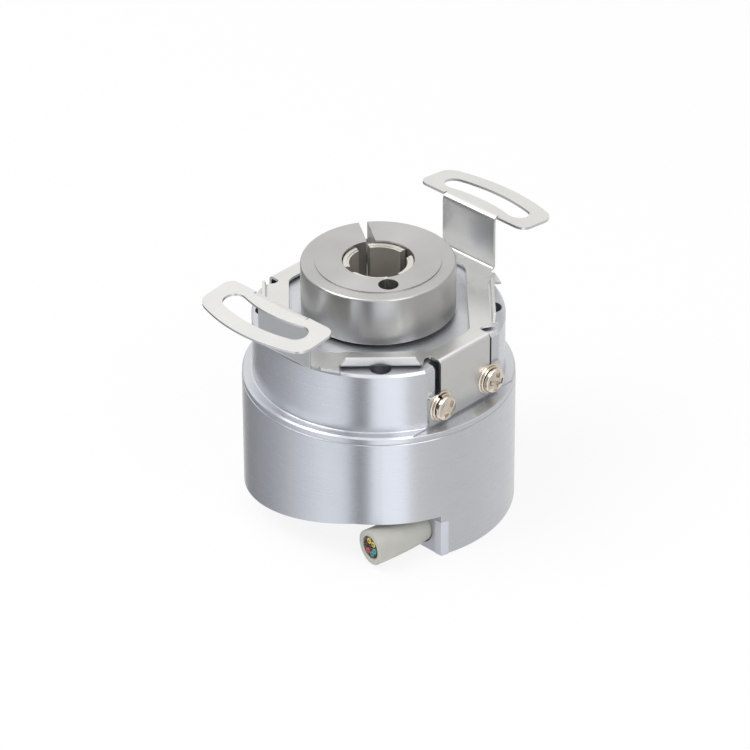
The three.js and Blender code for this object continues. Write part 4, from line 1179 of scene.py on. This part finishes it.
def build_grommet():
    outer, inner, flange = CABLE_R + 0.35, CABLE_R + FIT, CABLE_R + 0.55
    depth, edge = RELIEF_SKIN + FIT, 0.1
    profile = [(inner, 0.12), (inner + 0.06, 0.06), *arc((outer - edge, 0.16), edge, -90, 0),
               (outer, depth), (flange, depth), (flange, depth + 0.6), (inner, depth + 0.6)]
    bush = lathe(profile, 64, CABLE_IN)
    cut(bush, block(0, COVER_R, RELIEF_WALL_Y + RELIEF_SKIN, 0, -PAST, COVER_FLOOR + FIT))
    piece(settle(bush, 0), "cable_bush", "cable_grommet")


# ---- Studio ----

# What the metal sees around it: soft panels and dark gaps by direction, as a photographer sets them.
# Each entry is a direction in degrees about Z, from +X, and its brightness, below and above the horizon.
LOW_PANELS = (
    (-180, 0.24), (-162, 0.32), (-142, 0.47), (-126, 0.66), (-110, 0.90), (-96, 1.12), (-84, 1.15),
    (-75, 0.98), (-69, 0.40), (-62, 0.10), (-56, 0.35), (-50, 1.24), (-38, 1.42), (-25, 1.40),
    (-18, 0.80), (-4, 0.70), (18, 0.70), (40, 0.73), (66, 0.80), (82, 0.86), (98, 0.90), (114, 0.92),
    (130, 1.0), (146, 1.2), (156, 0.7), (166, 0.2), (180, 0.22),
)
HIGH_PANELS = (
    (-180, 1.15), (-160, 1.0), (-144, 0.45), (-126, 0.1), (-95, 0.05), (-80, 0.2), (-66, 0.6),
    (-50, 1.05), (-28, 1.05), (-14, 0.5), (16, 0.5), (44, 0.85), (60, 0.7), (90, 0.7), (114, 1.0),
    (150, 1.16), (180, 1.15),
)
ROOF_LEVEL = 1.4
COOL_TINT = (0.96, 0.985, 1.04)
WARM_TINT = (1.0, 0.995, 0.98)
WARM_FROM = -20


def background_share(graph):
    """1 for rays that should see the plain white background: camera, glossy and clear ones."""
    path = graph.add("LightPath").outputs
    seen = graph.math("MAXIMUM", path["Is Camera Ray"], path["Is Glossy Ray"])
    return graph.math("MAXIMUM", seen, path["Is Transmission Ray"])


def build_world():
    world = bpy.data.worlds.new("studio")
    bpy.context.scene.world = world
    world.use_nodes = True
    graph = Graph(world.node_tree)
    strength = graph.spread(background_share(graph), 0.62, 1.0, 0.0, 1.0)
    graph.feed(graph.nodes["Background"].inputs, {"Color": (1, 1, 1, 1), "Strength": strength})


def glow_material(name):
    """A material that only glows, with its graph, its glow and its output's inputs."""
    material = bpy.data.materials.new(name)
    material.use_nodes = True
    graph = Graph(material.node_tree)
    graph.nodes.clear()
    glow = graph.add("Emission")
    output = graph.add("OutputMaterial", {0: glow.outputs[0]})
    return material, graph, glow, output.inputs


def build_floor():
    """A pale floor that keeps a soft shadow of the object."""
    bm = bmesh.new()
    bmesh.ops.create_grid(bm, x_segments=1, y_segments=1, size=3.0)
    bmesh.ops.translate(bm, verts=bm.verts, vec=(0, 0, cad_bounds[0][2] - 0.00002))
    floor = new_object("studio_floor", bm)
    material, graph, glow, surface = glow_material("studio_floor_white")
    glow.inputs["Color"].default_value = (1, 1, 1, 1)
    diffuse = graph.add("BsdfDiffuse", {"Color": (0.9, 0.9, 0.9, 1)})
    share = graph.math("MULTIPLY", background_share(graph), 0.86)
    mix = graph.add("MixShader", {0: share, 1: diffuse.outputs[0], 2: glow.outputs[0]})
    graph.feed(surface, {0: mix.outputs[0]})
    floor.data.materials.append(material)
    floor.visible_glossy = False


def direction_ramp(graph, place, panels, brightest):
    """Brightness by direction, from 0 to 1 of the brightest panel."""
    ramp = graph.add("ValToRGB", {"Fac": place})
    stops = ramp.color_ramp.elements
    for i, (direction, level) in enumerate(panels):
        position = (direction + 180) / 360
        stop = stops[i] if i < 2 else stops.new(position)
        stop.position = position
        tint = WARM_TINT if direction > WARM_FROM else COOL_TINT
        stop.color = (*(level / brightest * c for c in tint), 1)
    return ramp.outputs["Color"]


def only_gloss(obj, material):
    """A staged piece that shows in the object's gloss and nowhere else."""
    obj.data.materials.append(material)
    obj.visible_camera = False
    obj.visible_diffuse = False
    obj.visible_shadow = False
    obj.visible_transmission = False


def build_panels():
    """A ring of soft panels around the object, and a roof panel over it."""
    bm = bmesh.new()
    radius, low, high, steps = 0.8, -0.9, 0.82, 96
    for z in (low, high):
        bmesh.ops.create_circle(bm, radius=radius, segments=steps, matrix=move(0, 0, z))
    bmesh.ops.bridge_loops(bm, edges=bm.edges)
    ring = new_object("studio_panels", bm)
    material, graph, glow, _ = glow_material("studio_panels_soft")
    x, y, z = graph.split_place()
    place = graph.spread(graph.math("ARCTAN2", y, x), 0.0, 1.0, -pi, pi)
    brightest = max(level for _, level in LOW_PANELS + HIGH_PANELS)
    mix = graph.add("Mix")
    mix.data_type = "RGBA"
    graph.feed(mix.inputs, {
        "Factor": graph.spread(z, 0.0, 1.0, -0.12, 0.12),
        "A": direction_ramp(graph, place, LOW_PANELS, brightest),
        "B": direction_ramp(graph, place, HIGH_PANELS, brightest),
    })
    graph.feed(glow.inputs, {"Color": mix.outputs["Result"], "Strength": brightest})
    only_gloss(ring, material)

    bm = bmesh.new()
    bmesh.ops.create_circle(bm, cap_ends=True, radius=radius, segments=steps, matrix=move(0, 0, high))
    roof = new_object("studio_roof_panel", bm)
    material, graph, glow, _ = glow_material("studio_roof_soft")
    graph.feed(glow.inputs, {"Strength": ROOF_LEVEL, "Color": (*WARM_TINT, 1)})
    only_gloss(roof, material)


def area_light(name, place, side, power):
    """A square lamp that faces the object."""
    data = bpy.data.lights.new(name, "AREA")
    data.shape = "RECTANGLE"
    data.size, data.size_y = side, side
    data.energy = power
    lamp = bpy.data.objects.new(name, data)
    bpy.context.scene.collection.objects.link(lamp)
    lamp.location = place
    lamp.rotation_euler = (Vector((0, 0, 0.02)) - Vector(place)).to_track_quat("-Z", "Y").to_euler()


def build_lights():
    area_light("key_softbox", (-0.25, -0.35, 0.7), 0.5, 3.2)
    area_light("fill_softbox", (0.55, -0.1, 0.5), 0.4, 1.1)


def build_camera():
    """The camera stands where the photograph was taken from."""
    azimuth, elevation, roll = rad(44.119), rad(32.264), rad(-0.284)
    distance, across, upward = 642.74, -0.519, -1.021
    back = Vector((sin(azimuth) * cos(elevation), -cos(azimuth) * cos(elevation), sin(elevation)))
    right = Vector((cos(azimuth), sin(azimuth), 0))
    up = back.cross(right)
    right, up = (right * cos(roll) + up * sin(roll), up * cos(roll) - right * sin(roll))
    aim = Vector((0, 0, 20))
    place = aim + back * distance + right * across + up * upward
    data = bpy.data.cameras.new("camera")
    data.sensor_width = 36
    data.lens = 222.52
    data.clip_start = 0.05
    data.clip_end = 20
    camera = bpy.data.objects.new("camera", data)
    bpy.context.scene.collection.objects.link(camera)
    basis = Matrix((right, up, back)).transposed().to_4x4()
    basis.translation = place * MM
    camera.matrix_world = basis
    bpy.context.scene.camera = camera


# ---- Assembly ----

bpy.context.scene.view_settings.view_transform = "Standard"
build_camera()
build_world()
build_floor()
build_panels()
build_lights()
dress_cad_nodes()
build_rear_cover()
build_corner_strip()
build_flange_body()
build_shaft_seal()
build_spring_plate()
build_plate_fasteners()
build_cover_screws()
build_hollow_shaft()
build_clamp_ring()
build_clamp_screw()
build_cable_jacket()
build_cable_shield()
build_cores()
build_grommet()
